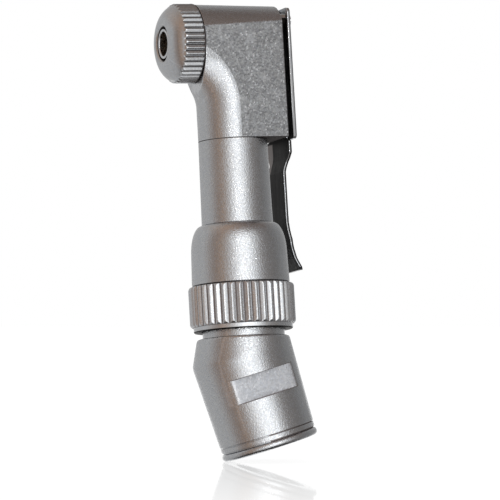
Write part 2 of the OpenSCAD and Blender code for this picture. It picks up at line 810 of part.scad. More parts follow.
// Middle line of the lever's sheet seen from the side, as x and z from the bur axis.
// It hangs in its slot, steps in towards the neck and swings out over the collar.
module lever_side() {
    hug = max(neck_foot_r + 0.64, collar_shoulder_r - 0.4) + lever_t / 2;
    over = collar_shoulder_r + lever_clear + lever_t / 2;
    line = [
        [lever_mid, hook_r + 1],
        [lever_mid, -block_drop - 1.7],
        [lever_mid - 0.08, -block_drop - 2.1],
        [hug + 0.1, -block_drop - 2.8],
        [hug, -block_drop - 3.2],
        [hug, collar_top_z + 0.55],
        [hug + 0.06, collar_top_z - 0.05],
        [over - 0.36, collar_top_z - 0.75],
        [over - 0.1, collar_top_z - 1.6],
        [over - 0.02, collar_top_z - 2.6],
        [over + 0.17, tab_z + 1.0],
        [over + 0.41, tab_z + 0.6],
        [tab_reach - 0.16, tab_z + 0.25],
        [tab_reach, tab_z]
    ];
    last = len(line) - 1;
    polygon(concat(
        [for (p = line) [p[0] + lever_t / 2, p[1]]],
        [for (i = [0:last]) [line[last - i][0] - lever_t / 2, line[last - i][1]]]));
}

// Outline of the lever seen from behind, as y and z from the bur axis
module lever_back() {
    half = [
        [hook_r + 0.15, -pivot_drop + 1.2],
        [lever_slot_half, -pivot_drop - 1.2],
        [lever_slot_half, -block_drop - 0.1],
        [lever_foot_half, -block_drop - 0.35],
        [lever_foot_half, -block_drop - 1.5],
        [lever_half + 0.15, -block_drop - 2.4],
        [lever_half, -block_drop - 3.0],
        [lever_half, collar_top_z + 0.5],
        [lever_waist_half, collar_top_z - 1.4],
        [lever_waist_half, collar_top_z - 2.2],
        [tab_half, tab_z + 1.0],
        [tab_half, tab_z + 0.3],
        [tab_half - 0.3, tab_z]
    ];
    last = len(half) - 1;
    difference() {
        polygon(concat(half,
            [for (i = [0:last]) [-half[last - i][0], half[last - i][1]]],
            [for (i = [0:22]) [hook_r * cos(200 - 10 * i), hook_r * sin(200 - 10 * i)]]));
        circle(r = hook_gap);
        translate([-far, 0.1 - hook_gap]) square([far, 2 * hook_gap - 0.2]);
    }
}

module latch_lever() {
    color(polished) at_head() difference() {
        intersection() {
            rotate([90, 0, 0]) translate([0, 0, -5])
                linear_extrude(height = 10) lever_side();
            rotate([90, 0, 90]) linear_extrude(height = 10) lever_back();
        }
        translate([0, 0, -pivot_drop]) rotate([0, 90, 0])
            rod(pivot_r + run_gap, 0, cover_x1);
    }
}

module latch_pivot() {
    color(polished) at_head() translate([0, 0, -pivot_drop]) rotate([0, 90, 0]) {
        rod(pivot_thread_r, neck_cavity_r + 0.45, block_back + press_gap + eps);
        rod(pivot_r, block_back + press_gap, cover_x1 + press_gap);
        difference() {
            rod(pivot_r + 0.4, cover_x1 + press_gap, cover_x1 + press_gap + screw_head_h);
            screw_slot(2 * pivot_r + 2);
        }
    }
}

// A driver's slot across a screw head that stands on the cover
module screw_slot(length) {
    slot = 0.18;
    translate([-slot / 2, -length / 2, cover_x1 + screw_head_h - 0.1])
        cube([slot, length, 1]);
}

// Rounded rectangle of the back cover, as y and z from the bur axis
module cover_outline() {
    side = flat_half - cover_inset;
    foot = -block_drop - cover_foot;
    top = cover_top_h;
    round_r = 0.4;
    translate([-side, foot + round_r]) square([2 * side, top - foot - 2 * round_r]);
    translate([-side + round_r, foot]) square([2 * side - 2 * round_r, top - foot]);
    for (s = [-1, 1], z = [foot + round_r, top - round_r])
        translate([s * (side - round_r), z]) circle(r = round_r);
}

module back_cover() {
    color(polished) at_head() difference() {
        union() {
            translate([cover_x0, 0, 0]) rotate([90, 0, 90])
                linear_extrude(height = cover_t) cover_outline();
            for (s = [-1, 1])
                translate([0, s * screw_y, screw_z]) rotate([0, 90, 0])
                    rod(boss_r, block_back + press_gap, cover_x0 + eps);
        }
        for (s = [-1, 1])
            translate([0, s * screw_y, screw_z]) rotate([0, 90, 0])
                rod(screw_r + press_gap, 0, far);
        translate([0, 0, -pivot_drop]) rotate([0, 90, 0]) rod(pivot_r + press_gap, 0, far);
        rotate([0, 90, 0]) rod(tail_hole_r, cover_x0 - 1, cover_x0 + cover_t - 0.15);
    }
}

module cover_screws() {
    for (s = [-1, 1])
        color(polished) at_head() translate([0, s * screw_y, screw_z]) rotate([0, 90, 0]) {
            rod(screw_r, block_back - screw_grip, cover_x1 + press_gap + eps);
            difference() {
                rod(screw_head_r, cover_x1 + press_gap, cover_x1 + press_gap + screw_head_h);
                screw_slot(2 * screw_head_r + 1);
            }
        }
}

rear_body();
rear_bushing();
rear_shaft();
rear_gear();
rear_thrust_washer();
drive_dog();
dog_pin();
collar();
clamp_collet();
ring_wire();
lock_ring();
neck_sleeve();
sleeve_clip();
lower_neck_bushing();
upper_neck_bushing();
neck_shaft();
lower_neck_gear();
upper_neck_gear();
lower_thrust_washer();
upper_thrust_washer();
head_housing();
head_cap();
front_bushing();
back_bushing();
bur_tube();
drive_socket();
rotor_gear();
rotor_thrust_washer();
latch_lever();
latch_pivot();
back_cover();
cover_screws();
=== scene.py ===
"""Looks of a latch-type contra-angle handpiece head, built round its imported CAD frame.

Shapes are worked out in millimetres in local frames, and written in metres. Round pieces are
closed loops of circles, the head's pieces are distance fields, and every finish is procedural.
"""

import json
import math

import bpy
import bmesh
import numpy as np
from mathutils import Matrix, Vector


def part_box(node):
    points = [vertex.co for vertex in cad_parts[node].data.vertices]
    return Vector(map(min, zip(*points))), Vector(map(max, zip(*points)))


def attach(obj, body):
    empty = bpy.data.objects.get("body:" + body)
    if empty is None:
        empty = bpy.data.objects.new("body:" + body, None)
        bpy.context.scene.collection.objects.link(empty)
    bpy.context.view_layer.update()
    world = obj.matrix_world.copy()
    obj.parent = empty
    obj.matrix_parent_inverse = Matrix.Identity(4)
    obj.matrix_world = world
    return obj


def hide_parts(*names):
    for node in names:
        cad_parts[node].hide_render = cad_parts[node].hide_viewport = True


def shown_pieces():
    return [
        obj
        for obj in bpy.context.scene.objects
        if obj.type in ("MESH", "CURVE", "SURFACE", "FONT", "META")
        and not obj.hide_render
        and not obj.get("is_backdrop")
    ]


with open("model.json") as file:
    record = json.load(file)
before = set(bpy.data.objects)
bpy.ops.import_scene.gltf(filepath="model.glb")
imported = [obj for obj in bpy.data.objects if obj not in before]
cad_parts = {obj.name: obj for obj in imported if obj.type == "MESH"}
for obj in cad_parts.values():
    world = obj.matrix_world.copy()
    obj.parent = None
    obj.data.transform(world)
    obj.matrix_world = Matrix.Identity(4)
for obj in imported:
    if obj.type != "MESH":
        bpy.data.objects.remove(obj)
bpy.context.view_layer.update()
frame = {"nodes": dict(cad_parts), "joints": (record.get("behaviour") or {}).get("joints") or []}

MM = 0.001


# ---- local frames: a turn and an origin, in millimetres ----------------------------------

def turn_y(angle):
    c, s = math.cos(angle), math.sin(angle)
    return np.array([[c, 0, s], [0, 1, 0], [-s, 0, c]])


def joint(name):
    """Place, in millimetres, and axis of one of the frame's joints."""
    found = next(j for j in frame["joints"] if j["name"] == name)
    return np.array(found["pos_m"]) / MM, found["axis"]


neck_place, _ = joint("head_swivel")
bur_place, _ = joint("bur_spin")
_, rear_axis = joint("drive_spin")
BEND = math.radians(round(math.degrees(math.atan2(-rear_axis[0], rear_axis[2])), 2))
REAR_LEN = round(-neck_place[0] / math.sin(BEND), 2)
BEND_POINT = np.array([-REAR_LEN * math.sin(BEND), 0, REAR_LEN * math.cos(BEND)])
BUR_H = round(bur_place[2] - BEND_POINT[2], 2)

# REAR has z up the rear body from its rim, NECK has z up the neck from the bend, HEAD is NECK
# raised to the bur's axis, and BUR has z along the bur, out of the cap.
REAR = (turn_y(-BEND), np.zeros(3))
NECK = (np.eye(3), BEND_POINT)
HEAD = (np.eye(3), BEND_POINT + [0, 0, BUR_H])
BUR = (turn_y(-math.pi / 2), BEND_POINT + [0, 0, BUR_H])


def place(points, local):
    return points @ local[0].T + local[1]


def into(points, local):
    return (points - local[1]) @ local[0]


# ---- sizes from the frame, in millimetres ------------------------------------------------

X, Y, Z = 0, 1, 2


def extent(node, axis, local):
    """Lowest and highest point of a CAD node along an axis of NECK or HEAD."""
    return [round(corner[axis] / MM - local[1][axis], 2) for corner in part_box(node)]


RING_H0, RING_H1 = extent("lock_ring", Z, NECK)
RING_R = extent("lock_ring", Y, NECK)[1]
COLLAR_H0, COLLAR_H1 = extent("collar", Z, NECK)
SLEEVE_H0, SLEEVE_H1 = extent("neck_sleeve", Z, NECK)
CAP_FACE, CAP_Z0 = [-x for x in extent("head_cap", X, HEAD)]
CAP_R = extent("head_cap", Y, HEAD)[1]
TUBE_TAIL = -extent("bur_tube", X, HEAD)[1]
BACK = extent("head_housing", X, HEAD)[1]
FLAT = extent("head_housing", Y, HEAD)[1]
HEAD_FOOT, BARREL_R = extent("head_housing", Z, HEAD)
COVER_BACK = extent("back_cover", X, HEAD)[1]
COVER_FOOT, COVER_TOP = extent("back_cover", Z, HEAD)


# ---- meshes ------------------------------------------------------------------------------

def weighted_normals(verts, mesh):
    """Normals in which large faces count most, so that flats stay flat next to soft edges."""
    total = np.zeros_like(verts)
    for p in mesh.polygons:
        ids = list(p.vertices)
        total[ids] += np.array(p.normal) * p.area
    length = np.linalg.norm(total, axis=1, keepdims=True)
    return total / np.maximum(length, 1e-20)


def weld(mesh):
    """Joins doubled points and turns all faces outwards."""
    bm = bmesh.new()
    bm.from_mesh(mesh)
    bmesh.ops.remove_doubles(bm, verts=bm.verts, dist=2e-7)
    bmesh.ops.dissolve_degenerate(bm, edges=bm.edges, dist=1e-7)
    bmesh.ops.recalc_face_normals(bm, faces=bm.faces)
    bm.to_mesh(mesh)
    bm.free()


def points_of(mesh):
    co = np.empty(len(mesh.vertices) * 3)
    mesh.vertices.foreach_get("co", co)
    return co.reshape(-1, 3)


def make(name, verts, faces, local, normals=None, fields=None):
    """A mesh object from points in millimetres in a local frame. It is welded, and takes its
    normals from its faces, unless normals are given. Each field is a function of the points
    that becomes an attribute, negative where a finish's patch lies."""
    points = place(np.asarray(verts, float), local) * MM
    mesh = bpy.data.meshes.new(name)
    mesh.from_pydata(points.tolist(), [], [list(map(int, f)) for f in faces])
    if normals is None:
        weld(mesh)
    mesh.update()
    points = points_of(mesh)
    if normals is None:
        normals = weighted_normals(points, mesh)
    else:
        normals = normals @ local[0].T
    for p in mesh.polygons:
        p.use_smooth = True
    mesh.normals_split_custom_set_from_vertices(normals.tolist())
    at = into(points / MM, local)
    for key, field in (fields or {}).items():
        layer = mesh.attributes.new(key, "FLOAT", "POINT")
        layer.data.foreach_set("value", np.asarray(field(at), np.float32))
    obj = bpy.data.objects.new(name, mesh)
    bpy.context.scene.collection.objects.link(obj)
    return obj


def grid_faces(rows, cols):
    """Quads of a grid that closes on itself both ways."""
    r, c = np.meshgrid(np.arange(rows), np.arange(cols), indexing="ij")
    r2, c2 = (r + 1) % rows, (c + 1) % cols
    return np.stack([r * cols + c, r * cols + c2, r2 * cols + c2, r2 * cols + c], -1).reshape(-1, 4)


def looped(name, rows, local, fields=None):
    """A piece from a closed loop of rows, each row a closed circle of as many points."""
    return make(name, np.concatenate(rows), grid_faces(len(rows), len(rows[0])), local,
                fields=fields)


EASE_STEPS = 4


def soft_loop(corners):
    """Rows of a closed loop of (circle, softness), each corner eased over its softness."""
    rows = []
    n = len(corners)
    for k, (p, d) in enumerate(corners):
        if d <= 0:
            rows.append(p)
            continue
        before, after = corners[k - 1][0], corners[(k + 1) % n][0]
        ends = []
        for q in (before, after):
            v = q - p
            length = np.linalg.norm(v, axis=1, keepdims=True)
            ends.append(p + v / np.maximum(length, 1e-9) * np.minimum(d, 0.45 * length))
        for i in range(EASE_STEPS + 1):
            s = i / EASE_STEPS
            rows.append((1 - s) ** 2 * ends[0] + 2 * s * (1 - s) * p + s * s * ends[1])
    return rows


def soft_profile(points):
    """A closed flat profile with eased corners, from (radius, height, softness)."""
    flat = [(np.array([[r, 0.0, z]]), d) for r, z, d in points]
    return [(p[0, 0], p[0, 2]) for p in soft_loop(flat)]


def angles(count):
    return np.arange(count) * 2 * math.pi / count


def circle(r, z, a):
    """Points round the z axis at the angles a. Radius and height may change with the angle."""
    r = np.broadcast_to(r, a.shape)
    z = np.broadcast_to(z, a.shape)
    return np.stack([r * np.cos(a), r * np.sin(a), z], 1)


def turned(name, profile, local, count, fields=None):
    """A turned piece: a closed profile of (radius, height, softness)."""
    a = angles(count)
    return looped(name, soft_loop([(circle(r, z, a), d) for r, z, d in profile]), local, fields)


def quarter(middle_r, middle_z, a, b, steps):
    """Profile points of a quarter ellipse, from its outer end up to its top."""
    out = []
    for i in range(steps + 1):
        t = math.radians(90 * i / steps)
        out.append((middle_r + a * math.cos(t), middle_z + b * math.sin(t), 0))
    return out


# ---- shapes from distance fields ---------------------------------------------------------

def soft_min(a, b, k):
    return (a + b - np.sqrt((a - b) ** 2 + k * k)) / 2


def meet(a, b, r):
    """Intersection with a rounded edge."""
    return np.minimum(np.maximum(a, b), -r) + np.hypot(np.maximum(a + r, 0), np.maximum(b + r, 0))


def join(a, b, r):
    """Union with a filleted corner."""
    return -meet(-a, -b, r)


def inside_polygon(x, y, poly):
    """Signed distance to a polygon, negative inside."""
    best = np.full(x.shape, 1e18)
    sign = np.ones(x.shape)
    for i, (ax, ay) in enumerate(poly):
        bx, by = poly[i - 1]
        ex, ey = bx - ax, by - ay
        wx, wy = x - ax, y - ay
        t = np.clip((wx * ex + wy * ey) / (ex * ex + ey * ey), 0, 1)
        best = np.minimum(best, (wx - ex * t) ** 2 + (wy - ey * t) ** 2)
        c1, c2, c3 = y >= ay, y < by, ex * wy > ey * wx
        sign = np.where((c1 & c2 & c3) | (~c1 & ~c2 & ~c3), -sign, sign)
    return sign * np.sqrt(best)


def slope(f, p, reach=0.004):
    """Gradient of a field, from its values on both sides of each point."""
    g = np.empty_like(p)
    for k in range(3):
        d = np.zeros(3)
        d[k] = reach
        g[:, k] = (f(p + d) - f(p - d)) / (2 * reach)
    return g


BLOCK = 4
BATCH = 400000


def sampled(f, low, high, step):
    """The field on a grid: exact in blocks near its surface, one value a block elsewhere."""
    n = np.ceil((high - low) / step / BLOCK).astype(int)
    centres = [low[k] + (np.arange(n[k]) + 0.5) * BLOCK * step for k in range(3)]
    coarse = f(np.stack(np.meshgrid(*centres, indexing="ij"), -1).reshape(-1, 3)).reshape(n)
    near = np.abs(coarse) < BLOCK * step * 1.05
    size = n * BLOCK + 1
    block_of = [np.minimum(np.arange(size[k]) // BLOCK, n[k] - 1) for k in range(3)]
    field = coarse[np.ix_(*block_of)].astype(np.float32)
    mask = np.zeros(size, bool)
    mask[:-1, :-1, :-1] = near.repeat(BLOCK, 0).repeat(BLOCK, 1).repeat(BLOCK, 2)
    mask[1:] |= mask[:-1].copy()
    mask[:, 1:] |= mask[:, :-1].copy()
    mask[:, :, 1:] |= mask[:, :, :-1].copy()
    at = np.argwhere(mask)
    values = np.empty(len(at), np.float32)
    for i in range(0, len(at), BATCH):
        values[i:i + BATCH] = f(low + at[i:i + BATCH] * step)
    field[mask] = values
    return field


def net_points(field):
    """The cells that the surface passes, and in each the mean of where it cuts their edges."""
    inside = field < 0
    halves = [slice(0, -1), slice(1, None)]
    corners = [(i, j, k) for i in (0, 1) for j in (0, 1) for k in (0, 1)]
    count = sum(inside[halves[i], halves[j], halves[k]].astype(np.int8) for i, j, k in corners)
    cells = np.argwhere((count > 0) & (count < 8))
    total = np.zeros((len(cells), 3))
    hits = np.zeros((len(cells), 1))
    for start in corners:
        for axis in range(3):
            if start[axis]:
                continue
            end = list(start)
            end[axis] = 1
            va = field[tuple((cells + start).T)]
            vb = field[tuple((cells + end).T)]
            cross = (va < 0) != (vb < 0)
            t = np.where(cross, va / np.where(cross, va - vb, 1), 0)
            cut = cells + np.array(start, float)
            cut[:, axis] += t
            total += np.where(cross[:, None], cut, 0)
            hits += cross[:, None]
    return cells, total / hits


def net_faces(field, cells):
    """A quad round each grid edge that the surface cuts, turned outwards."""
    inside = field < 0
    ids = np.full(np.array(field.shape) - 1, -1, np.int32)
    ids[tuple(cells.T)] = np.arange(len(cells))
    faces = []
    for axis in range(3):
        u, v = [k for k in range(3) if k != axis]
        first = [slice(1, -1)] * 3
        second = [slice(1, -1)] * 3
        first[axis], second[axis] = slice(0, -1), slice(1, None)
        s0, s1 = inside[tuple(first)], inside[tuple(second)]
        base = np.argwhere(s0 != s1)
        outward = s0[tuple(base.T)] != (axis == 1)
        base[:, u] += 1
        base[:, v] += 1
        quad = []
        for du, dv in ((-1, -1), (0, -1), (0, 0), (-1, 0)):
            q = base.copy()
            q[:, u] += du
            q[:, v] += dv
            quad.append(ids[tuple(q.T)])
        quad = np.stack(quad, 1)
        quad[~outward] = quad[~outward][:, ::-1]
        faces.append(quad)
    return np.concatenate(faces)


def settle(f, verts, times):
    """Moves points onto the surface along its slope, and gives the normals there."""
    for _ in range(times):
        g = slope(f, verts)
        verts = verts - g * (f(verts) / np.maximum((g * g).sum(1), 0.2))[:, None]
    g = slope(f, verts)
    return verts, g / np.maximum(np.linalg.norm(g, axis=1, keepdims=True), 1e-9)


def thinned(verts, faces, keep):
    """The same surface with a share of its faces, fewest where it is flat."""
    mesh = bpy.data.meshes.new("thin")
    mesh.from_pydata(verts.tolist(), [], faces.tolist())
    obj = bpy.data.objects.new("thin", mesh)
    bpy.context.scene.collection.objects.link(obj)
    obj.modifiers.new("thin", "DECIMATE").ratio = keep
    depsgraph = bpy.context.evaluated_depsgraph_get()
    made = bpy.data.meshes.new_from_object(obj.evaluated_get(depsgraph))
    verts = np.array([v.co[:] for v in made.vertices])
    faces = [list(p.vertices) for p in made.polygons]
    bpy.data.objects.remove(obj)
    bpy.data.meshes.remove(mesh)
    bpy.data.meshes.remove(made)
    return verts, faces


def carved(name, f, low, high, step, keep=1.0, fields=None):
    """A piece of the head from a distance field, between two corners of HEAD."""
    low, high = np.array(low, float), np.array(high, float)
    field = sampled(f, low, high, step)
    cells, verts = net_points(field)
    faces = net_faces(field, cells)
    verts, normals = settle(f, low + verts * step, 3)
    if keep < 1:
        verts, faces = thinned(verts, faces, keep)
        verts, normals = settle(f, verts, 2)
    return make(name, verts, faces, HEAD, normals, fields)


# ---- nodes -------------------------------------------------------------------------------

WHITE = (1, 1, 1, 1)


class Nodes:
    """A short way to write a node tree."""

    def __init__(self, tree):
        self.tree = tree
        self.tree.nodes.clear()

    def put(self, node, socket, value):
        """Links a socket, or sets it."""
        target = node.inputs[socket]
        if isinstance(value, bpy.types.NodeSocket):
            self.tree.links.new(value, target)
        else:
            target.default_value = value

    def new(self, kind, *values, **settings):
        """A node with its settings made and its first inputs filled."""
        node = self.tree.nodes.new("ShaderNode" + kind)
        for key, value in settings.items():
            setattr(node, key, value)
        for i, value in enumerate(values):
            self.put(node, i, value)
        return node

    def math(self, op, a, b=0.0):
        return self.new("Math", a, b, operation=op).outputs[0]

    def span(self, value, a, b, c, d, smooth=False):
        """value taken from the range a to b to the range c to d, and held at its ends."""
        kind = "SMOOTHSTEP" if smooth else "LINEAR"
        return self.new("MapRange", value, a, b, c, d, interpolation_type=kind).outputs[0]

    def mix(self, factor, a, b):
        node = self.new("Mix", factor, data_type="FLOAT")
        self.put(node, 2, a)
        self.put(node, 3, b)
        return node.outputs[0]

    def colour(self, factor, a, b, kind="MIX"):
        node = self.new("Mix", factor, data_type="RGBA", blend_type=kind)
        self.put(node, 6, a)
        self.put(node, 7, b)
        return node.outputs[2]

    def named(self, kind, **inputs):
        """A node's outputs, its inputs filled by name."""
        node = self.new(kind)
        for socket, value in inputs.items():
            self.put(node, socket.replace("_", " "), value)
        return node.outputs

    def blend(self, factor, a, b):
        return self.new("MixShader", factor, a, b).outputs[0]

    def noise(self, at, scale, detail):
        return self.named("TexNoise", Vector=at, Scale=scale, Detail=detail,
                          Roughness=0.6)["Fac"]

    def millimetres(self, stretch=(1, 1, 1)):
        """Points on the object in millimetres, stretched along the axes."""
        coords = self.new("TexCoord").outputs["Object"]
        return self.named("Mapping", Vector=coords, Scale=tuple(s / MM for s in stretch))[0]

    def seen(self):
        """1 on rays from the camera and on those that mirror or pass through, else 0."""
        path = self.new("LightPath").outputs
        glossy = self.math("MAXIMUM", path["Is Glossy Ray"], path["Is Transmission Ray"])
        return self.math("MAXIMUM", path["Is Camera Ray"], glossy)


def material(name):
    """A new material and its node tree."""
    made = bpy.data.materials.new(name)
    made.use_nodes = True
    return made, Nodes(made.node_tree)


# ---- finishes ----------------------------------------------------------------------------

GRAIN_DEPTH = 0.03
CELLS_TO_GRAIN = 0.9
GLINT_FROM, GLINT_TO = 0.86, 0.97
DRIFT = (0.97, 1.0, 1.05)


def tinted(base, *tints):
    return (*(base * math.prod(t) for t in zip(*tints)), 1.0)


def grain(n, at, look):
    """One finish: its hue, level, roughness, and its bump's height and strength."""
    fine = n.noise(at, look["grain"], 2.0)
    cell = n.named("TexVoronoi", Vector=at, Scale=look["grain"] * CELLS_TO_GRAIN)
    pick = n.new("SeparateColor", cell["Color"]).outputs
    vary, spread = look["vary"], look["spread"]
    shade = n.span(pick[0], 0, 1, 1 - vary, 1 + vary)
    soft = n.span(fine, 0.25, 0.75, 1 - vary * 0.6, 1 + vary * 0.6)
    glint = n.span(pick[2], GLINT_FROM, GLINT_TO, 0, look["glint"], True)
    rough = n.math("ADD", look["rough"], n.span(pick[1], 0, 1, -spread, spread))
    rough = n.math("SUBTRACT", rough, n.math("MULTIPLY", glint, 0.12))
    level = n.math("ADD", n.math("MULTIPLY", shade, soft), glint)
    height = n.math("ADD", n.math("MULTIPLY", fine, 0.7),
                    n.math("MULTIPLY", cell["Distance"], 0.5))
    hue = n.colour(pick[1], tinted(look["base"], look["tint"]),
                   tinted(look["base"], look["tint"], DRIFT))
    return hue, level, rough, height, look["bump"]


def metal(name, patches=(), stretch=(1, 1, 1), wear=0.2, **look):
    """Metal with a fine blasted or brushed grain, brighter on worn edges. Each patch is another
    finish inside a field: the attribute, the softness of its edge and what differs. Many
    patches are painted shade instead."""
    look = {"spread": 0.08, "glint": 0.0, "tint": (1, 1, 1), **look}
    made, n = material(name)
    at = n.millimetres(stretch)
    hue, level, rough, height, bump = grain(n, at, look)
    for key, width, other in patches:
        field = n.new("Attribute", attribute_name=key).outputs["Fac"]
        mask = n.span(field, -width, width, 1, 0, True)
        hue2, level2, rough2, height2, bump2 = grain(n, at, {**look, **other})
        hue = n.colour(mask, hue, hue2)
        level = n.mix(mask, level, level2)
        rough = n.mix(mask, rough, rough2)
        height = n.mix(mask, height, height2)
        bump = n.mix(mask, bump, bump2)
    smudge = n.noise(n.millimetres(), 0.35, 3.0)
    rough = n.math("ADD", rough, n.span(smudge, 0.3, 0.7, -0.03, 0.04))
    edge = n.new("NewGeometry").outputs["Pointiness"]
    level = n.math("ADD", level, n.span(edge, 0.52, 0.62, 0, wear, True))
    ridge = n.named("Bump", Strength=bump, Distance=GRAIN_DEPTH * MM, Height=height)[0]
    surface = n.named("BsdfPrincipled", Base_Color=n.colour(1.0, hue, level, "MULTIPLY"),
                      Metallic=1.0, Roughness=rough, Normal=ridge)[0]
    n.new("OutputMaterial", surface)
    return made


SATIN = dict(base=0.60, rough=0.22, grain=8.0, bump=0.75, vary=0.05, spread=0.09, glint=0.1)
# Painted shade: a dull finish for it, near black for gaps and undersides, and dark for lines in
# grooves and along steps.
SHADE_LOOK = dict(rough=0.5, glint=0.0, bump=0.1)
PAINTED_SHADE = dict(SHADE_LOOK, base=0.012, tint=(1.1, 0.95, 0.85))
SHADE_LINE = dict(SHADE_LOOK, base=0.07, tint=(1.1, 0.95, 0.9))
BRUSHED = dict(grain=4.0, stretch=(1, 1, 0.12), spread=0.04, wear=0.1)

satin = metal("satin_steel", **SATIN)
soft_satin = metal("soft_satin", **dict(SATIN, rough=0.28))
head_satin = metal("head_satin", **SATIN, patches=[
    ("panel", 0.03, dict(base=0.36, rough=0.40, grain=7.5, bump=0.9, vary=0.32, glint=0.6)),
    # Painted shade: dark on the head's underside.
    ("under", 0.02, dict(SHADE_LINE, base=0.06, rough=0.95))])
rear_satin = metal("rear_satin", **SATIN, patches=[
    ("pad", 0.03, dict(base=0.80, rough=0.28, grain=6.5, bump=0.9, vary=0.20, glint=0.3,
                       tint=(0.97, 1.0, 1.04))),
    # Painted shade: dark lines in the rim's grooves and along the pad's steps.
    ("rim_shade", 0.02, dict(SHADE_LINE, base=0.26))])
# Painted shade: dark in the rib grooves, on the cap's foot and round the bur's hole.
bright = metal("bright_steel", base=0.60, rough=0.20, grain=8.0, bump=0.25, vary=0.05,
               spread=0.05, wear=0.1, patches=[("dip_shade", 0.02, SHADE_LINE)])
# Painted shade: dark in the rib grooves and near black on the ring's lower face.
ring_steel = metal("ring_steel", base=0.71, rough=0.31, grain=8.0, bump=0.3, vary=0.05,
                   spread=0.06, wear=0.1,
                   patches=[("dip_shade", 0.02, dict(SHADE_LINE, base=0.2)), ("under", 0.03, PAINTED_SHADE)])
# Painted shade: near black on the cover's inner face and a dark line along its edge.
mirror = metal("polished_steel", base=0.60, rough=0.14, bump=0.05, vary=0.03,
               **dict(BRUSHED, spread=0.03), patches=[("inner", 0.03, PAINTED_SHADE)])
# Painted shade: near black on the lever's inner face and a dark line along its edge, less dark at
# one corner.
spring = metal("spring_steel", base=0.50, rough=0.18, bump=0.06, vary=0.04, **BRUSHED, patches=[
    ("inner", 0.02, PAINTED_SHADE),
    ("foot", 0.04, dict(PAINTED_SHADE, base=0.2, rough=0.4, tint=(1.1, 0.96, 0.9)))])
plain = metal("plain_steel", base=0.58, rough=0.22, grain=6.0, bump=0.15, vary=0.05)
# Painted warm shade inside the bur tube's bore.
spindle = metal("spindle_steel", base=0.72, rough=0.12, grain=5.0, bump=0.06, vary=0.04,
                wear=0.1, patches=[("bore", 0.02, dict(base=0.45, rough=0.35,
                                                       tint=(1.25, 1.0, 0.7)))])
hard = metal("hardened_steel", base=0.42, rough=0.28, grain=5.0, bump=0.15, vary=0.08,
             tint=(1.0, 0.97, 0.93))
bronze = metal("sintered_bronze", base=0.5, rough=0.38, grain=7.0, bump=0.4, vary=0.2, wear=0.1,
               tint=(1.15, 0.86, 0.55))


# ---- rear body ---------------------------------------------------------------------------
# Turned about the rear axis up to the bend, where it meets a cone about the neck's axis. A
# spigot goes on up the neck's axis, through the lock ring and into the collar.

LIP_R, LIP_H = 4.825, 0.76
MOUTH_R = 4.76
GROOVE_R = MOUTH_R - 0.15
LAND_Z0, LAND_Z1 = LIP_H + 0.10, LIP_H + 0.54
BODY_Z0 = LIP_H + 0.64
TOP_R, TOP_Z = 5.09, REAR_LEN + 4
FLARE_R, FLARE_H = 4.66, 2.81
FLARE_EASE_H = FLARE_H - 0.22
FLARE_SLOPE = math.tan(math.radians(12.1))
SPIGOT_R, SPIGOT_H = 4.03, COLLAR_H0 + 2.1
PAD_D, PAD_Z0, PAD_Z1, PAD_EASE = 3.70, 5.08, 7.5, 0.10
JOURNAL_BORE = 3.04
GEAR_ROOM_R, GEAR_ROOM_H0, GEAR_ROOM_H1 = 3.35, 0.2, RING_H0 + 1.4
SHAFT_ROOM_R = 2.75
BUSHING_R, BUSHING_Z0, BUSHING_Z1 = 2.22, 4.45, 6.4
DOG_ROOM_R = 2.3
SOCKET_R, SOCKET_Z = 3.5, 3.3


def body_r(z):
    """Radius of the body, which widens a little towards the bend."""
    return MOUTH_R + (TOP_R - MOUTH_R) * (z - BODY_Z0) / (TOP_Z - BODY_Z0)


def body_circle(z, a):
    return circle(body_r(z), z, a)


def pad_circle(z, a):
    """The body's circle where the pad cuts its front flat."""
    across = np.cos(a + math.pi / 2)
    r = body_r(z)
    flat_r = PAD_D / np.maximum(across, 1e-3)
    return circle(np.where(across > 0.2, soft_min(r, flat_r, PAD_EASE), r), z, a)


def neck_circle(r, h, a):
    """A circle about the neck's axis, in REAR."""
    return into(place(circle(r, h, a), NECK), REAR)


def flare_edge(a):
    """Heights at which the body meets the flare, found by halving."""
    low, high = np.full(a.shape, 4.0), np.full(a.shape, 13.0)
    for _ in range(40):
        mid = (low + high) / 2
        p = into(place(body_circle(mid, a), REAR), NECK)
        cone_r = FLARE_R + (FLARE_EASE_H - p[:, 2]) * FLARE_SLOPE
        gap = np.maximum(np.hypot(p[:, 0], p[:, 1]) - cone_r, p[:, 2] - (FLARE_EASE_H - 0.02))
        low = np.where(gap < 0, mid, low)
        high = np.where(gap < 0, high, mid)
    return (low + high) / 2


def flare(edge, a):
    """Rows from the body's edge up the flare, and the radius that each point ends at. The
    points turn from their angle about the rear axis to the same one about the neck's."""
    at = into(place(edge, REAR), NECK)
    start = np.arctan2(at[:, 1], at[:, 0])
    swing = (a - start + math.pi) % (2 * math.pi) - math.pi
    edge_r = np.hypot(at[:, 0], at[:, 1])
    top_r = np.minimum(FLARE_R, edge_r)
    rows = []
    for s in (0.25, 0.5, 0.75, 1.0):
        h = at[:, 2] + (FLARE_EASE_H - at[:, 2]) * s
        rows.append(neck_circle(edge_r + (top_r - edge_r) * s, h, start + swing * s))
    return rows, top_r


def rounded_lip(a):
    """Rows of the rim's half-round lip, from its lower face to its upper one."""
    half = LIP_H / 2
    rows = []
    for i in range(13):
        t = math.pi * i / 12
        rows.append(circle(LIP_R - half + half * math.sin(t), half - half * math.cos(t), a))
    return rows


def pad_face(p):
    middle = (PAD_Z0 + PAD_Z1) / 2
    return np.maximum(np.abs(p[:, 1] + PAD_D) - 0.02, np.abs(p[:, 2] - middle) - 1.2)


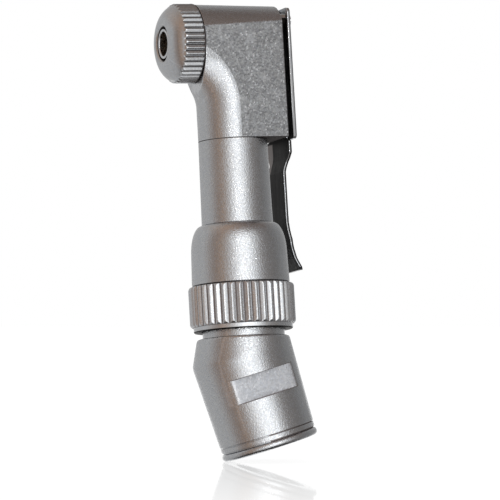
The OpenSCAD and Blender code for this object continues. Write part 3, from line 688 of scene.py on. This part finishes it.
def rear_shade_lines(p):
    """Painted shade in the rim's grooves, but not on their lit left side, and along the pad's
    steps.
    """
    x, y, z = p.T
    groove = np.maximum(np.hypot(x, y) - (MOUTH_R - 0.08),
                        np.abs(z - (LIP_H + BODY_Z0) / 2) - 0.33)
    step = np.minimum(np.abs(z - PAD_Z0), np.abs(z - PAD_Z1)) - 0.035
    step = np.maximum(step, np.maximum(y + PAD_D - 0.1, np.abs(x) - 3.25))
    return np.minimum(np.maximum(groove, -1.5 - x), step)


def rear_body():
    # The pad ends near -128 and -52 degrees, and the points stand closer together there.
    a = np.radians(np.concatenate([
        np.arange(-140, -128.5, 0.4), np.arange(-128.5, -51.5, 1.4),
        np.arange(-51.5, -40, 0.4), np.arange(-40, 220, 2.0)]))
    edge = body_circle(flare_edge(a), a)
    cone, top_r = flare(edge, a)
    rim = [(circle(SOCKET_R, 0, a), 0.12)]
    rim += [(row, 0.0) for row in rounded_lip(a)]
    rim += [
        (circle(GROOVE_R, LIP_H + 0.01, a), 0.015), (circle(GROOVE_R, LAND_Z0 - 0.01, a), 0.02),
        (circle(MOUTH_R - 0.03, LAND_Z0, a), 0.03), (circle(MOUTH_R - 0.02, LAND_Z1, a), 0.03),
        (circle(GROOVE_R, LAND_Z1 + 0.01, a), 0.02), (circle(GROOVE_R, BODY_Z0, a), 0.02),
    ]
    outside = [
        (body_circle(BODY_Z0, a), 0.06), (body_circle(PAD_Z0, a), 0.05),
        (pad_circle(PAD_Z0, a), 0.04), (pad_circle(PAD_Z1, a), 0.04),
        (body_circle(PAD_Z1, a), 0.05), (edge, 0.35),
        (cone[0], 0), (cone[1], 0), (cone[2], 0), (cone[3], 0.08),
        (neck_circle(top_r - 0.12, FLARE_H, a), 0.08), (neck_circle(SPIGOT_R, FLARE_H, a), 0.03),
        (neck_circle(SPIGOT_R, SPIGOT_H, a), 0.1),
    ]
    inside = [
        (neck_circle(JOURNAL_BORE, SPIGOT_H, a), 0.05),
        (neck_circle(JOURNAL_BORE, GEAR_ROOM_H1, a), 0.05),
        (neck_circle(GEAR_ROOM_R, GEAR_ROOM_H1, a), 0.05),
        (neck_circle(GEAR_ROOM_R, GEAR_ROOM_H0, a), 0.1),
        (circle(SHAFT_ROOM_R, REAR_LEN + GEAR_ROOM_H0, a), 0.1),
        (circle(SHAFT_ROOM_R, BUSHING_Z1, a), 0.05),
        (circle(BUSHING_R, BUSHING_Z1, a), 0.03), (circle(BUSHING_R, BUSHING_Z0, a), 0.02),
        (circle(DOG_ROOM_R, BUSHING_Z0, a), 0.02), (circle(DOG_ROOM_R, SOCKET_Z, a), 0.05),
        (circle(SOCKET_R, SOCKET_Z, a), 0.08),
    ]
    return looped("rear_body_skin", soft_loop(rim + outside + inside), REAR,
                  {"pad": pad_face, "rim_shade": rear_shade_lines})


# ---- ribbed rings ------------------------------------------------------------------------

RIB_POINTS = 24
RIB_CREST = 0.14


def ribbed(name, loop, ribs, radius, depth, zone, local, fields):
    """A ring with peaked ribs: loop is a closed profile, and its rows in the zone (lowest,
    highest, least radius) carry ribs. The finish is painted dark where its shade field is
    negative: painted shade down in the grooves, and where the field given for it is."""
    a = angles(ribs * RIB_POINTS)
    t = ((np.arange(len(a)) % RIB_POINTS) / RIB_POINTS) * 2 - 1
    fall = np.maximum(np.sqrt(t ** 2 + RIB_CREST ** 2) - RIB_CREST, 0) / (1 - RIB_CREST * 0.9)
    rib_r = radius - depth * fall
    low, high, least = zone
    rows = []
    for r, z in loop:
        if low <= z <= high and r > least:
            r = soft_min(r, rib_r, 0.03)
        rows.append(circle(r, z, a))

    # Painted shade in the rib grooves, joined with the given shade field.
    def dip_shade(p):
        groove = np.hypot(p[:, 0], p[:, 1]) - (radius - 0.80 * depth)
        groove = np.maximum(groove, np.maximum(low - p[:, 2], p[:, 2] - high))
        return np.minimum(groove, fields["dip_shade"](p))

    return looped(name, rows, local, {**fields, "dip_shade": dip_shade})


def lock_ring():
    h0, h1, rib0, r = RING_H0, RING_H1, RING_H0 + 0.5, RING_R
    loop = soft_profile([
        (4.10, h0, 0.06), (4.78, h0, 0.0), (4.86, h0 + 0.08, 0.0),
        (4.86, rib0 - 0.02, 0.02), (4.90, rib0, 0.0), (5.0, rib0 + 0.02, 0.02),
        (r - 0.06, rib0 + 0.16, 0.06), (r, rib0 + 0.36, 0.05), (r, rib0 + 1.0, 0.0),
        (r, h1 - 1.0, 0.0), (r, h1 - 0.30, 0.05), (r - 0.08, h1 - 0.1, 0.06),
        (r - 0.25, h1, 0.08), (4.10, h1, 0.06),
    ])
    return ribbed("lock_ring_skin", loop, 40, r, 0.27, (rib0 - 0.01, h1, 4.89), NECK,
                  # Painted shade: the rib grooves only, and near black on the ring's lower face.
                  {"dip_shade": lambda p: 1.0, "under": lambda p: p[:, 2] - (h0 + 0.105)})


def cap_shade(p):
    """Painted shade on the cap's foot, under its ribs, and in the hole for the bur."""
    r = np.hypot(p[:, 0], p[:, 1])
    foot = np.maximum(p[:, 2] - (CAP_Z0 + 0.165), 3.5 - r)
    return np.minimum(foot, r - 1.71)


def head_cap():
    z0, z1, face, r = CAP_Z0, 5.72, CAP_FACE, CAP_R
    hole_r, back = 1.62, face - 1.24
    dome = []
    for i in range(15):
        t = math.radians(30 + 60 * i / 14)
        dome.append((1.9 + 2.125 * math.cos(t), z1 + 2.26 * (math.sin(t) - 0.5), 0))
    loop = soft_profile([
        (3.32, z0, 0.03), (3.84, z0, 0.02), (3.89, z0 + 0.04, 0.02), (3.89, z0 + 0.16, 0.01),
        (r, z0 + 0.17, 0.01), (r, z0 + 0.8, 0.0), (r, z1 - 0.22, 0.05), (r - 0.08, z1 - 0.05, 0.03),
        *dome,
        (hole_r + 0.17, face - 0.07, 0.04), (hole_r + 0.07, face - 0.19, 0.03),
        (hole_r, face - 0.34, 0.0), (hole_r, back, 0.04), (3.32, back, 0.05),
    ])
    return ribbed("head_cap_skin", loop, 40, r, 0.22, (z0 + 0.17, z1 - 0.01, 3.7), BUR,
                  {"dip_shade": cap_shade})


# ---- turned pieces -----------------------------------------------------------------------

def collar():
    h0, h1, bore_r = COLLAR_H0, COLLAR_H1, SPIGOT_R + 0.02
    dome_h, step_h = 2.85, h1 - 1.68
    return turned("collar_skin", [
        (bore_r, h0, 0.05), (4.71, h0, 0.0), (4.79, h0 + 0.07, 0.04), (4.78, h0 + 0.5, 0.3),
        *quarter(3.58, h1 - dome_h, 1.12, dome_h, 18),
        (3.50, h1, 0.02), (JOURNAL_BORE, h1, 0.06), (JOURNAL_BORE, step_h, 0.05),
        (bore_r, step_h, 0.05),
    ], NECK, 192)


def neck_sleeve():
    end, top, spigot = SLEEVE_H0, BUR_H + HEAD_FOOT, SLEEVE_H1
    foot = COLLAR_H1 + 0.03
    return turned("neck_sleeve_skin", [
        (3.0, end, 0.1), (3.0, foot - 0.02, 0.02), (3.46, foot, 0.01), (3.50, foot + 0.04, 0.03),
        (3.38, top - 0.05, 0.03), (3.33, top, 0.02), (2.88, top, 0.04), (2.88, spigot, 0.1),
        (2.40, spigot, 0.05), (2.40, end + 2.5, 0.05), (2.02, end + 2.5, 0.05), (2.02, end, 0.05),
    ], NECK, 192)


def bur_tube():
    bore_r, tube_r, tail = 1.19, 1.55, TUBE_TAIL
    nose = 6.71

    # Field of the bore, which carries painted warm shade.
    def bore(p):
        return np.maximum(np.hypot(p[:, 0], p[:, 1]) - 1.22, p[:, 2] - (nose - 0.11))

    return turned("bur_tube_skin", [
        (bore_r, nose - 0.09, 0.02), (1.22, nose - 0.02, 0.01), (1.30, nose, 0.02),
        (1.45, nose - 0.02, 0.02), (1.52, nose - 0.21, 0.02), (tube_r, nose - 0.41, 0.02),
        (tube_r, -2.45, 0.02), (1.9, -2.45, 0.03), (1.9, -2.88, 0.03), (1.78, -2.88, 0.02),
        (1.78, tail, 0.05), (1.54, tail, 0.03), (1.54, -2.65, 0.02), (bore_r, -2.65, 0.02),
    ], BUR, 96, {"bore": bore})


# ---- head housing ------------------------------------------------------------------------

FRONT = 3.57
TUBE_R = 3.38
ELBOW_R, ELBOW_Z = 6.6, -6.35
ROOF_POWER = 3.2
GEAR_BORE_R, GEAR_BORE_X = 2.95, 2.95
BUSHING_BORE_R, BUSHING_BORE_X = 2.24, 4.30
TAIL_HOLE_R = 1.35
NECK_BORE_R, NECK_BORE_Z = 2.9, -1.7
SCREW_Y, SCREW_Z, SCREW_HOLE_R, SCREW_FLOOR = 2.1, 1.9, 0.37, 3.46
PIVOT_Z, PIVOT_HOLE_R, PIVOT_FLOOR = -3.4, 0.47, 3.25


def roof_line(x):
    """Height of the roof's middle, and its rise over the sides' upper edge."""
    s = np.clip((x + FRONT) / (FRONT + BACK), 0, 1)
    top, side_z = 3.76 - 0.22 * s, 1.34 + 0.50 * s
    return top, top - side_z


def panel_face(p):
    """Distance into the side panel, which the bent tube and the roof cut off."""
    x, y, z = p.T
    arc = np.where(z > -6.44, 6.73 - np.hypot(x + 6.98, z + 6.44), -0.25 - x)
    top, rise = roof_line(x)
    side = np.where(np.abs(y) > FLAT - 0.06, -1.0, 1.0)
    return np.maximum(np.maximum(arc, z - (top - rise)), side)


# Field of the head's underside, which carries painted shade.
def underside(p):
    return p[:, 2] - HEAD_FOOT - 0.04


def housing_outside(p):
    """A tube that bends forward out of a flat-sided block, with a barrel under its roof."""
    x, y, z = p.T
    bent = np.where(z > ELBOW_Z, np.hypot(x + ELBOW_R, z - ELBOW_Z) - ELBOW_R, x)
    tube = np.maximum(np.hypot(bent, y) - TUBE_R, -(x + FRONT + 2))
    top, rise = roof_line(x)
    across = np.abs(y) / FLAT
    roof = z - top + rise * across ** ROOF_POWER
    roof = roof / np.hypot(1, rise * ROOF_POWER / FLAT * across ** (ROOF_POWER - 1))
    block = np.maximum(np.maximum(-bent, np.abs(y) - FLAT), z - 1.2)
    reach = np.hypot(y, z)
    body = join(join(tube, block, 0.05), np.where(z > 0, roof, reach - BARREL_R), 0.3)
    body = np.where(z > 0, np.maximum(np.minimum(body, block), roof), body)
    body = meet(body, np.abs(y) - FLAT, 0.03)
    body = meet(body, x - BACK, 0.07)
    body = meet(body, -x - FRONT, 0.06)
    body = meet(body, HEAD_FOOT - z, 0.05)
    cap_spigot = np.maximum(reach - 3.3, np.maximum(-x - 5.30, x))
    return np.minimum(body, cap_spigot)


def housing_inside(p):
    """Room for the gears, the tube's back bushing, the bur's tail and the neck, and the holes
    for the screws and the pivot."""
    x, y, z = p.T
    reach = np.hypot(y, z)
    room = np.maximum(reach - GEAR_BORE_R, x - GEAR_BORE_X)
    room = np.minimum(room, np.maximum(reach - BUSHING_BORE_R, x - BUSHING_BORE_X))
    room = np.minimum(room, reach - TAIL_HOLE_R)
    room = np.minimum(room, np.maximum(np.hypot(x, y) - NECK_BORE_R, z - NECK_BORE_Z))
    for s in (-1, 1):
        screw = np.hypot(y - s * SCREW_Y, z - SCREW_Z) - SCREW_HOLE_R
        room = np.minimum(room, np.maximum(screw, SCREW_FLOOR - x))
    pivot = np.hypot(y, z - PIVOT_Z) - PIVOT_HOLE_R
    return np.minimum(room, np.maximum(pivot, PIVOT_FLOOR - x))


def housing_field(p):
    return meet(housing_outside(p), -housing_inside(p), 0.03)


# ---- latch lever -------------------------------------------------------------------------
# A bent strip, 0.32 mm thick: flat under the cover, in along the neck, out over the collar.

STRIP = 0.16
HOOK_R, HOOK_MOUTH = 0.9, 0.8
LEVER_PIVOT_R = 0.64
FLAT_X, NECK_X, COLLAR_X = 4.895, 4.46, 5.0
LEVER_LINE = [
    (FLAT_X, 2.5), (FLAT_X, -11.25), (FLAT_X - 0.07, -11.75), (NECK_X + 0.12, -12.55),
    (NECK_X, -13.0), (NECK_X, -17.35), (NECK_X + 0.05, -18.0), (COLLAR_X - 0.34, -18.75),
    (COLLAR_X - 0.1, -19.6), (COLLAR_X - 0.02, -20.55), (COLLAR_X + 0.15, -21.5),
    (COLLAR_X + 0.37, -21.94), (5.62, -22.4), (5.79, -22.72)]
LEVER_SIDE = [(x + STRIP, z) for x, z in LEVER_LINE]
LEVER_SIDE += [(x - STRIP, z) for x, z in reversed(LEVER_LINE)]

LEVER_NEAR = [
    (1.65, -2.2), (2.4, -4.6), (2.4, -9.77), (2.9, -10.02), (2.9, -11.17), (2.25, -12.07),
    (2.1, -12.67), (2.1, -17.45), (1.75, -19.35), (1.75, -20.15), (2.05, -21.54),
    (2.05, -22.42), (1.8, -22.68)]
LEVER_FAR = LEVER_NEAR[:2] + [(2.4, -9.6), (3.05, -9.7), (3.05, -11.17)] + LEVER_NEAR[5:]
LEVER_BACK = LEVER_FAR + [(-y, z) for y, z in reversed(LEVER_NEAR)]
LEVER_BACK += [tuple(1.5 * v for v in (math.cos(math.radians(t)), math.sin(math.radians(t))))
               for t in range(200, -30, -10)]


def lever_field(p):
    x, y, z = p.T
    strip = meet(inside_polygon(x, z, LEVER_SIDE), inside_polygon(y, z, LEVER_BACK), 0.07)
    hook = np.minimum(np.hypot(y, z) - HOOK_R, np.maximum(np.abs(z) - HOOK_MOUTH, y))
    pivot = np.hypot(y, z - PIVOT_Z) - LEVER_PIVOT_R
    return np.maximum(np.maximum(strip, -hook), -pivot)


def lever_shade(p):
    """Painted shade on the inner face, toward the neck, and a fine painted dark line along the
    edge.
    """
    xs, zs = np.array(LEVER_LINE[::-1]).T
    off = p[:, 0] - np.interp(p[:, 2], zs, xs)
    return np.where(off < -0.04, off + 0.12, np.maximum(-0.02 - off, off - 0.13))


def lever_lit_corner(p):
    """A corner of the inner face, just under the cover on the far side, where the painted shade is
    less dark.
    """
    corner = np.maximum(1.5 - p[:, 1], np.abs(p[:, 2] + 11.4) - 1.5)
    return np.maximum(corner, lever_shade(p))


# ---- back cover --------------------------------------------------------------------------

COVER_SIDE = FLAT - 0.08
COVER_CORNER = 0.4
COVER_INNER = 5.13
FLANGE_X, FLANGE_FALL, FLANGE_Y = 5.22, 0.12, 2.98
BOSS_R, BOSS_X0, BOSS_X1 = 0.72, 4.68, 5.3
POCKET_X = 5.40
COVER_PIVOT_R = 0.62


def cover_field(p):
    """A plate with rounded corners on two bosses, hollowed inside a flange at its sides."""
    x, y, z = p.T
    middle, half = (COVER_TOP + COVER_FOOT) / 2, (COVER_TOP - COVER_FOOT) / 2
    over_y = np.abs(y) - COVER_SIDE + COVER_CORNER
    over_z = np.abs(z - middle) - half + COVER_CORNER
    outline = np.hypot(np.maximum(over_y, 0), np.maximum(over_z, 0)) - COVER_CORNER
    outline = outline + np.minimum(np.maximum(over_y, over_z), 0)
    flange = FLANGE_X - FLANGE_FALL * np.clip((2.0 - z) / 11.7, 0, 1)
    inner = np.where(np.abs(y) > FLANGE_Y, flange, COVER_INNER)
    body = meet(meet(outline, x - COVER_BACK, 0.13), inner - x, 0.05)
    holes = np.hypot(y, z - PIVOT_Z) - COVER_PIVOT_R
    for s in (-1, 1):
        reach = np.hypot(y - s * SCREW_Y, z - SCREW_Z)
        boss = np.maximum(reach - BOSS_R, np.maximum(BOSS_X0 - x, x - BOSS_X1))
        body = np.minimum(body, boss)
        holes = np.minimum(holes, reach - SCREW_HOLE_R)
    tail_pocket = np.maximum(np.hypot(y, z) - TAIL_HOLE_R, x - POCKET_X)
    return meet(np.maximum(body, -tail_pocket), -holes, 0.03)


def cover_shade(p):
    """Painted shade on the inner face, up to the roof's line, and a fine painted dark line along
    the edge.
    """
    x, y, z = p.T
    top, rise = roof_line(BACK)
    face = np.maximum(x - (COVER_INNER + 0.05), z - top + rise * (np.abs(y) / FLAT) ** 2 + 0.25)
    return np.minimum(face, np.abs(x - (COVER_BACK - 0.12)) - 0.03)


# ---- the pieces, their finish and what they ride on --------------------------------------

def dress(piece, finish, body, node):
    """A piece with its finish and slot, which rides on a body and stands for a CAD node."""
    piece.data.materials.append(finish)
    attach(piece, body)
    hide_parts(node)


dress(rear_body(), rear_satin, "rear", "rear_body")
dress(lock_ring(), ring_steel, "ring", "lock_ring")
dress(collar(), satin, "rear", "collar")
dress(neck_sleeve(), soft_satin, "head", "neck_sleeve")
dress(head_cap(), bright, "head", "head_cap")
dress(bur_tube(), spindle, "rotor", "bur_tube")

housing = carved("head_housing_skin", housing_field, (-5.6, -3.6, -9.9), (4.9, 3.6, 4.0), 0.10,
                 keep=0.45, fields={"panel": panel_face, "under": underside})
dress(housing, head_satin, "head", "head_housing")

lever = carved("latch_lever_skin", lever_field, (3.9, -3.2, -23.0), (6.1, 3.2, 2.0), 0.06,
               fields={"inner": lever_shade, "foot": lever_lit_corner})
lever.visible_glossy = False      # the photographed neck doesn't mirror it
dress(lever, spring, "latch", "latch_lever")

cover = carved("back_cover_skin", cover_field, (4.5, -3.5, -10.1), (5.8, 3.5, 3.7), 0.07,
               fields={"inner": cover_shade})
dress(cover, mirror, "head", "back_cover")

for finish, nodes in (
        (bronze, ("rear_bushing", "rear_thrust_washer", "lower_neck_bushing",
                  "upper_neck_bushing", "lower_thrust_washer", "upper_thrust_washer",
                  "front_bushing", "back_bushing", "rotor_thrust_washer")),
        (hard, ("rear_shaft", "rear_gear", "drive_dog", "neck_shaft", "lower_neck_gear",
                "upper_neck_gear", "rotor_gear", "drive_socket")),
        (plain, ("dog_pin", "clamp_collet", "ring_wire", "sleeve_clip", "latch_pivot",
                 "cover_screws"))):
    for node in nodes:
        for holder in frame["nodes"][node].material_slots:
            holder.material = finish


# ---- camera ------------------------------------------------------------------------------

AZIMUTH, ELEVATION, ROLL = math.radians(-21.1), math.radians(-5.2), math.radians(-3.27)
AIM = np.array([-0.995, 0, 19.468]) * MM
DISTANCE = 0.5

level_back = np.array([math.sin(AZIMUTH), -math.cos(AZIMUTH), 0])
right = np.array([math.cos(AZIMUTH), math.sin(AZIMUTH), 0])
world_up = np.array([0, 0, 1.0])
back = level_back * math.cos(ELEVATION) + world_up * math.sin(ELEVATION)
up = np.cross(back, right)
camera_x = right * math.cos(ROLL) + up * math.sin(ROLL)
camera_y = -right * math.sin(ROLL) + up * math.cos(ROLL)


def stand(obj, origin, x, y, z):
    """Adds an object to the scene at a point, with its axes along x, y and z."""
    turn = Matrix([[x[i], y[i], z[i]] for i in range(3)]).to_4x4()
    obj.matrix_world = Matrix.Translation(Vector(origin.tolist())) @ turn
    bpy.context.scene.collection.objects.link(obj)


def add_camera():
    camera = bpy.data.cameras.new("camera")
    camera.lens, camera.sensor_width = 367.2, 36.0
    camera.clip_start, camera.clip_end = 0.01, 10
    eye = bpy.data.objects.new("camera", camera)
    stand(eye, AIM + back * DISTANCE, camera_x, camera_y, back)
    bpy.context.scene.camera = eye


# ---- floor, world, walls and light -------------------------------------------------------

FLOOR_TILT = math.radians(1.0)
FLOOR_HALF = 0.4
WALL_R = 0.075


def floor_material():
    """White to the camera and to reflections, with the shadow and a short mirror image, and
    clear from below."""
    made, n = material("white_floor")
    glow = n.named("Emission", Color=WHITE, Strength=0.90)[0]
    matte = n.named("BsdfDiffuse", Color=(0.22, 0.22, 0.22, 1))[0]
    pale = n.named("BsdfDiffuse", Color=(0.8, 0.8, 0.8, 1))[0]
    base = n.blend(n.seen(), pale, n.new("AddShader", glow, matte).outputs[0])
    gloss = n.named("BsdfGlossy", Roughness=0.03, Color=WHITE)[0]
    coords = n.new("TexCoord").outputs["Object"]
    far = n.new("VectorMath", coords, operation="LENGTH").outputs["Value"]
    wet = n.blend(n.span(far, 0.004, 0.12, 0.42, 0.0), base, gloss)
    below = n.new("NewGeometry").outputs["Backfacing"]
    n.new("OutputMaterial", n.blend(below, wet, n.named("BsdfTransparent")[0]))
    return made


def add_floor():
    """A floor under the lowest point as the camera stands, which sees it at one degree."""
    floor_up = camera_y * math.cos(FLOOR_TILT) + back * math.sin(FLOOR_TILT)
    away = np.cross(floor_up, camera_x)
    lowest = min((points_of(piece.data) @ floor_up).min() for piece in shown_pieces())
    contact = AIM + floor_up * (lowest - AIM @ floor_up - 2e-6)
    corners = [camera_x * sx * FLOOR_HALF + away * sy * FLOOR_HALF
               for sx, sy in ((-1, -1), (1, -1), (1, 1), (-1, 1))]
    mesh = bpy.data.meshes.new("floor")
    mesh.from_pydata([c.tolist() for c in corners], [], [(0, 1, 2, 3)])
    floor = bpy.data.objects.new("floor", mesh)
    floor.data.materials.append(floor_material())
    stand(floor, contact, *np.eye(3))
    floor.visible_glossy = False
    floor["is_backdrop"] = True


def add_world():
    """White where it is seen, and pale grey as a light."""
    world = bpy.data.worlds.new("world")
    bpy.context.scene.world = world
    world.use_nodes = True
    n = Nodes(world.node_tree)
    shade = n.colour(n.seen(), (0.7, 0.7, 0.7, 1), WHITE)
    n.new("OutputWorld", n.named("Background", Color=shade, Strength=1.0)[0])


def ramp(n, value, low, high, stops):
    """A colour ramp over value from low to high, where its first and last stops are. A stop
    is a place and a grey or a colour."""
    node = n.new("ValToRGB", n.span(value, low, high, 0, 1))
    elements = node.color_ramp.elements
    for k, (at, shade) in enumerate([stops[0], stops[-1], *stops[1:-1]]):
        spot = (at - low) / (high - low)
        element = elements[k] if k < 2 else elements.new(spot)
        element.position = spot
        element.color = (*shade, 1) if isinstance(shade, tuple) else (shade, shade, shade, 1)
    return node.outputs["Color"]


def wall_material():
    """Grey and brown cards round the object and a light behind the camera, by the angle to
    the right of the level way back to the camera and the angle above it. Clear from outside,
    and on the far side below the object's middle."""
    made, n = material("studio_walls")
    coords = n.new("TexCoord").outputs["Object"]
    unit = n.new("VectorMath", coords, operation="NORMALIZE").outputs[0]
    xyz = n.new("SeparateXYZ", unit).outputs
    turn = n.math("DEGREES", n.math("ARCTAN2", xyz[1], xyz[0]))
    rise = n.math("DEGREES", n.math("ARCSINE", xyz[2]))
    around = ramp(n, turn, -180, 180, [
        (-180, 0.58), (-150, 0.52), (-88, 0.52), (-74, (0.42, 0.38, 0.36)),
        (-58, (0.29, 0.23, 0.20)), (-42, (0.45, 0.33, 0.255)), (-28, (0.43, 0.40, 0.385)),
        (36, 0.40), (50, (0.30, 0.28, 0.27)), (90, (0.21, 0.20, 0.195)), (110, 0.27),
        (150, 0.36), (180, 0.58)])
    above = ramp(n, turn, -180, 180, [
        (-180, 0.42), (-110, (0.50, 0.46, 0.43)), (-60, (0.46, 0.36, 0.30)),
        (-40, (0.465, 0.325, 0.245)), (0, (0.39, 0.31, 0.27)), (30, (0.27, 0.22, 0.20)),
        (55, (0.22, 0.18, 0.16)), (95, (0.21, 0.17, 0.155)), (125, (0.27, 0.25, 0.24)),
        (150, (0.34, 0.325, 0.315)), (180, 0.42)])
    height = ramp(n, rise, -90, 90, [
        (-90, 0.05), (-64, 0.10), (-44, 0.9), (-20, 1.0), (56, 1.0), (90, 0.7)])
    light_height = ramp(n, rise, -90, 90, [
        (-90, 0.0), (-56, 0.0), (-34, 1.0), (-8, 0.95), (3, 0.70), (12, 0.60), (22, 0.97),
        (29, 0.70), (38, 0.0), (90, 0.0)])
    cards = n.colour(n.span(rise, 32.0, 50.0, 0, 1, True), around, above)
    cards = n.named("Emission", Color=n.colour(1.0, cards, height, "MULTIPLY"), Strength=1.0)[0]
    off_light = n.math("ABSOLUTE", n.math("SUBTRACT", turn, 12.0))
    power = n.math("MULTIPLY", n.span(off_light, 6.0, 48.0, 1.0, 0.0, True), 1.1)
    cool = n.colour(1.0, (0.96, 0.985, 1.0, 1), light_height, "MULTIPLY")
    light = n.named("Emission", Color=cool, Strength=power)[0]
    lit = n.new("AddShader", cards, light).outputs[0]
    behind = n.math("MULTIPLY", n.span(n.math("ABSOLUTE", turn), 150.0, 159.0, 0, 1, True),
                    n.span(rise, 1.0, -3.0, 0, 1, True))
    outside = n.math("SUBTRACT", 1.0, n.new("NewGeometry").outputs["Backfacing"])
    clear = n.math("MAXIMUM", outside, behind)
    n.new("OutputMaterial", n.blend(clear, lit, n.named("BsdfTransparent")[0]))
    return made


def add_walls():
    """The studio round the object, a sphere that only reflections see."""
    bm = bmesh.new()
    bmesh.ops.create_uvsphere(bm, u_segments=64, v_segments=32, radius=WALL_R)
    mesh = bpy.data.meshes.new("studio_walls")
    bm.to_mesh(mesh)
    bm.free()
    walls = bpy.data.objects.new("studio_walls", mesh)
    walls.data.materials.append(wall_material())
    stand(walls, AIM, level_back, right, world_up)
    walls.visible_camera = walls.visible_shadow = walls.visible_diffuse = False
    walls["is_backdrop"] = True


def add_key_light():
    """A large soft box, a little to the right of the camera and above it."""
    turn, rise, distance = math.radians(11), math.radians(14), 0.7
    width, height, radiance = 0.42, 0.60, 0.55
    level = level_back * math.cos(turn) + right * math.sin(turn)
    away = level * math.cos(rise) + world_up * math.sin(rise)
    light = bpy.data.lights.new("key", "AREA")
    light.shape = "RECTANGLE"
    light.size, light.size_y = width, height
    light.energy = radiance * math.pi * width * height
    light.color = (0.97, 0.99, 1.0)
    light.cycles.use_multiple_importance_sampling = False
    lamp = bpy.data.objects.new("key", light)
    turned_to = Vector(away.tolist()).to_track_quat("Z", "Y").to_matrix()
    stand(lamp, AIM + away * distance, *turned_to.transposed())
    lamp.visible_camera = False


add_camera()
add_floor()
add_world()
add_walls()
add_key_light()
bpy.context.scene.view_settings.view_transform = "Standard"
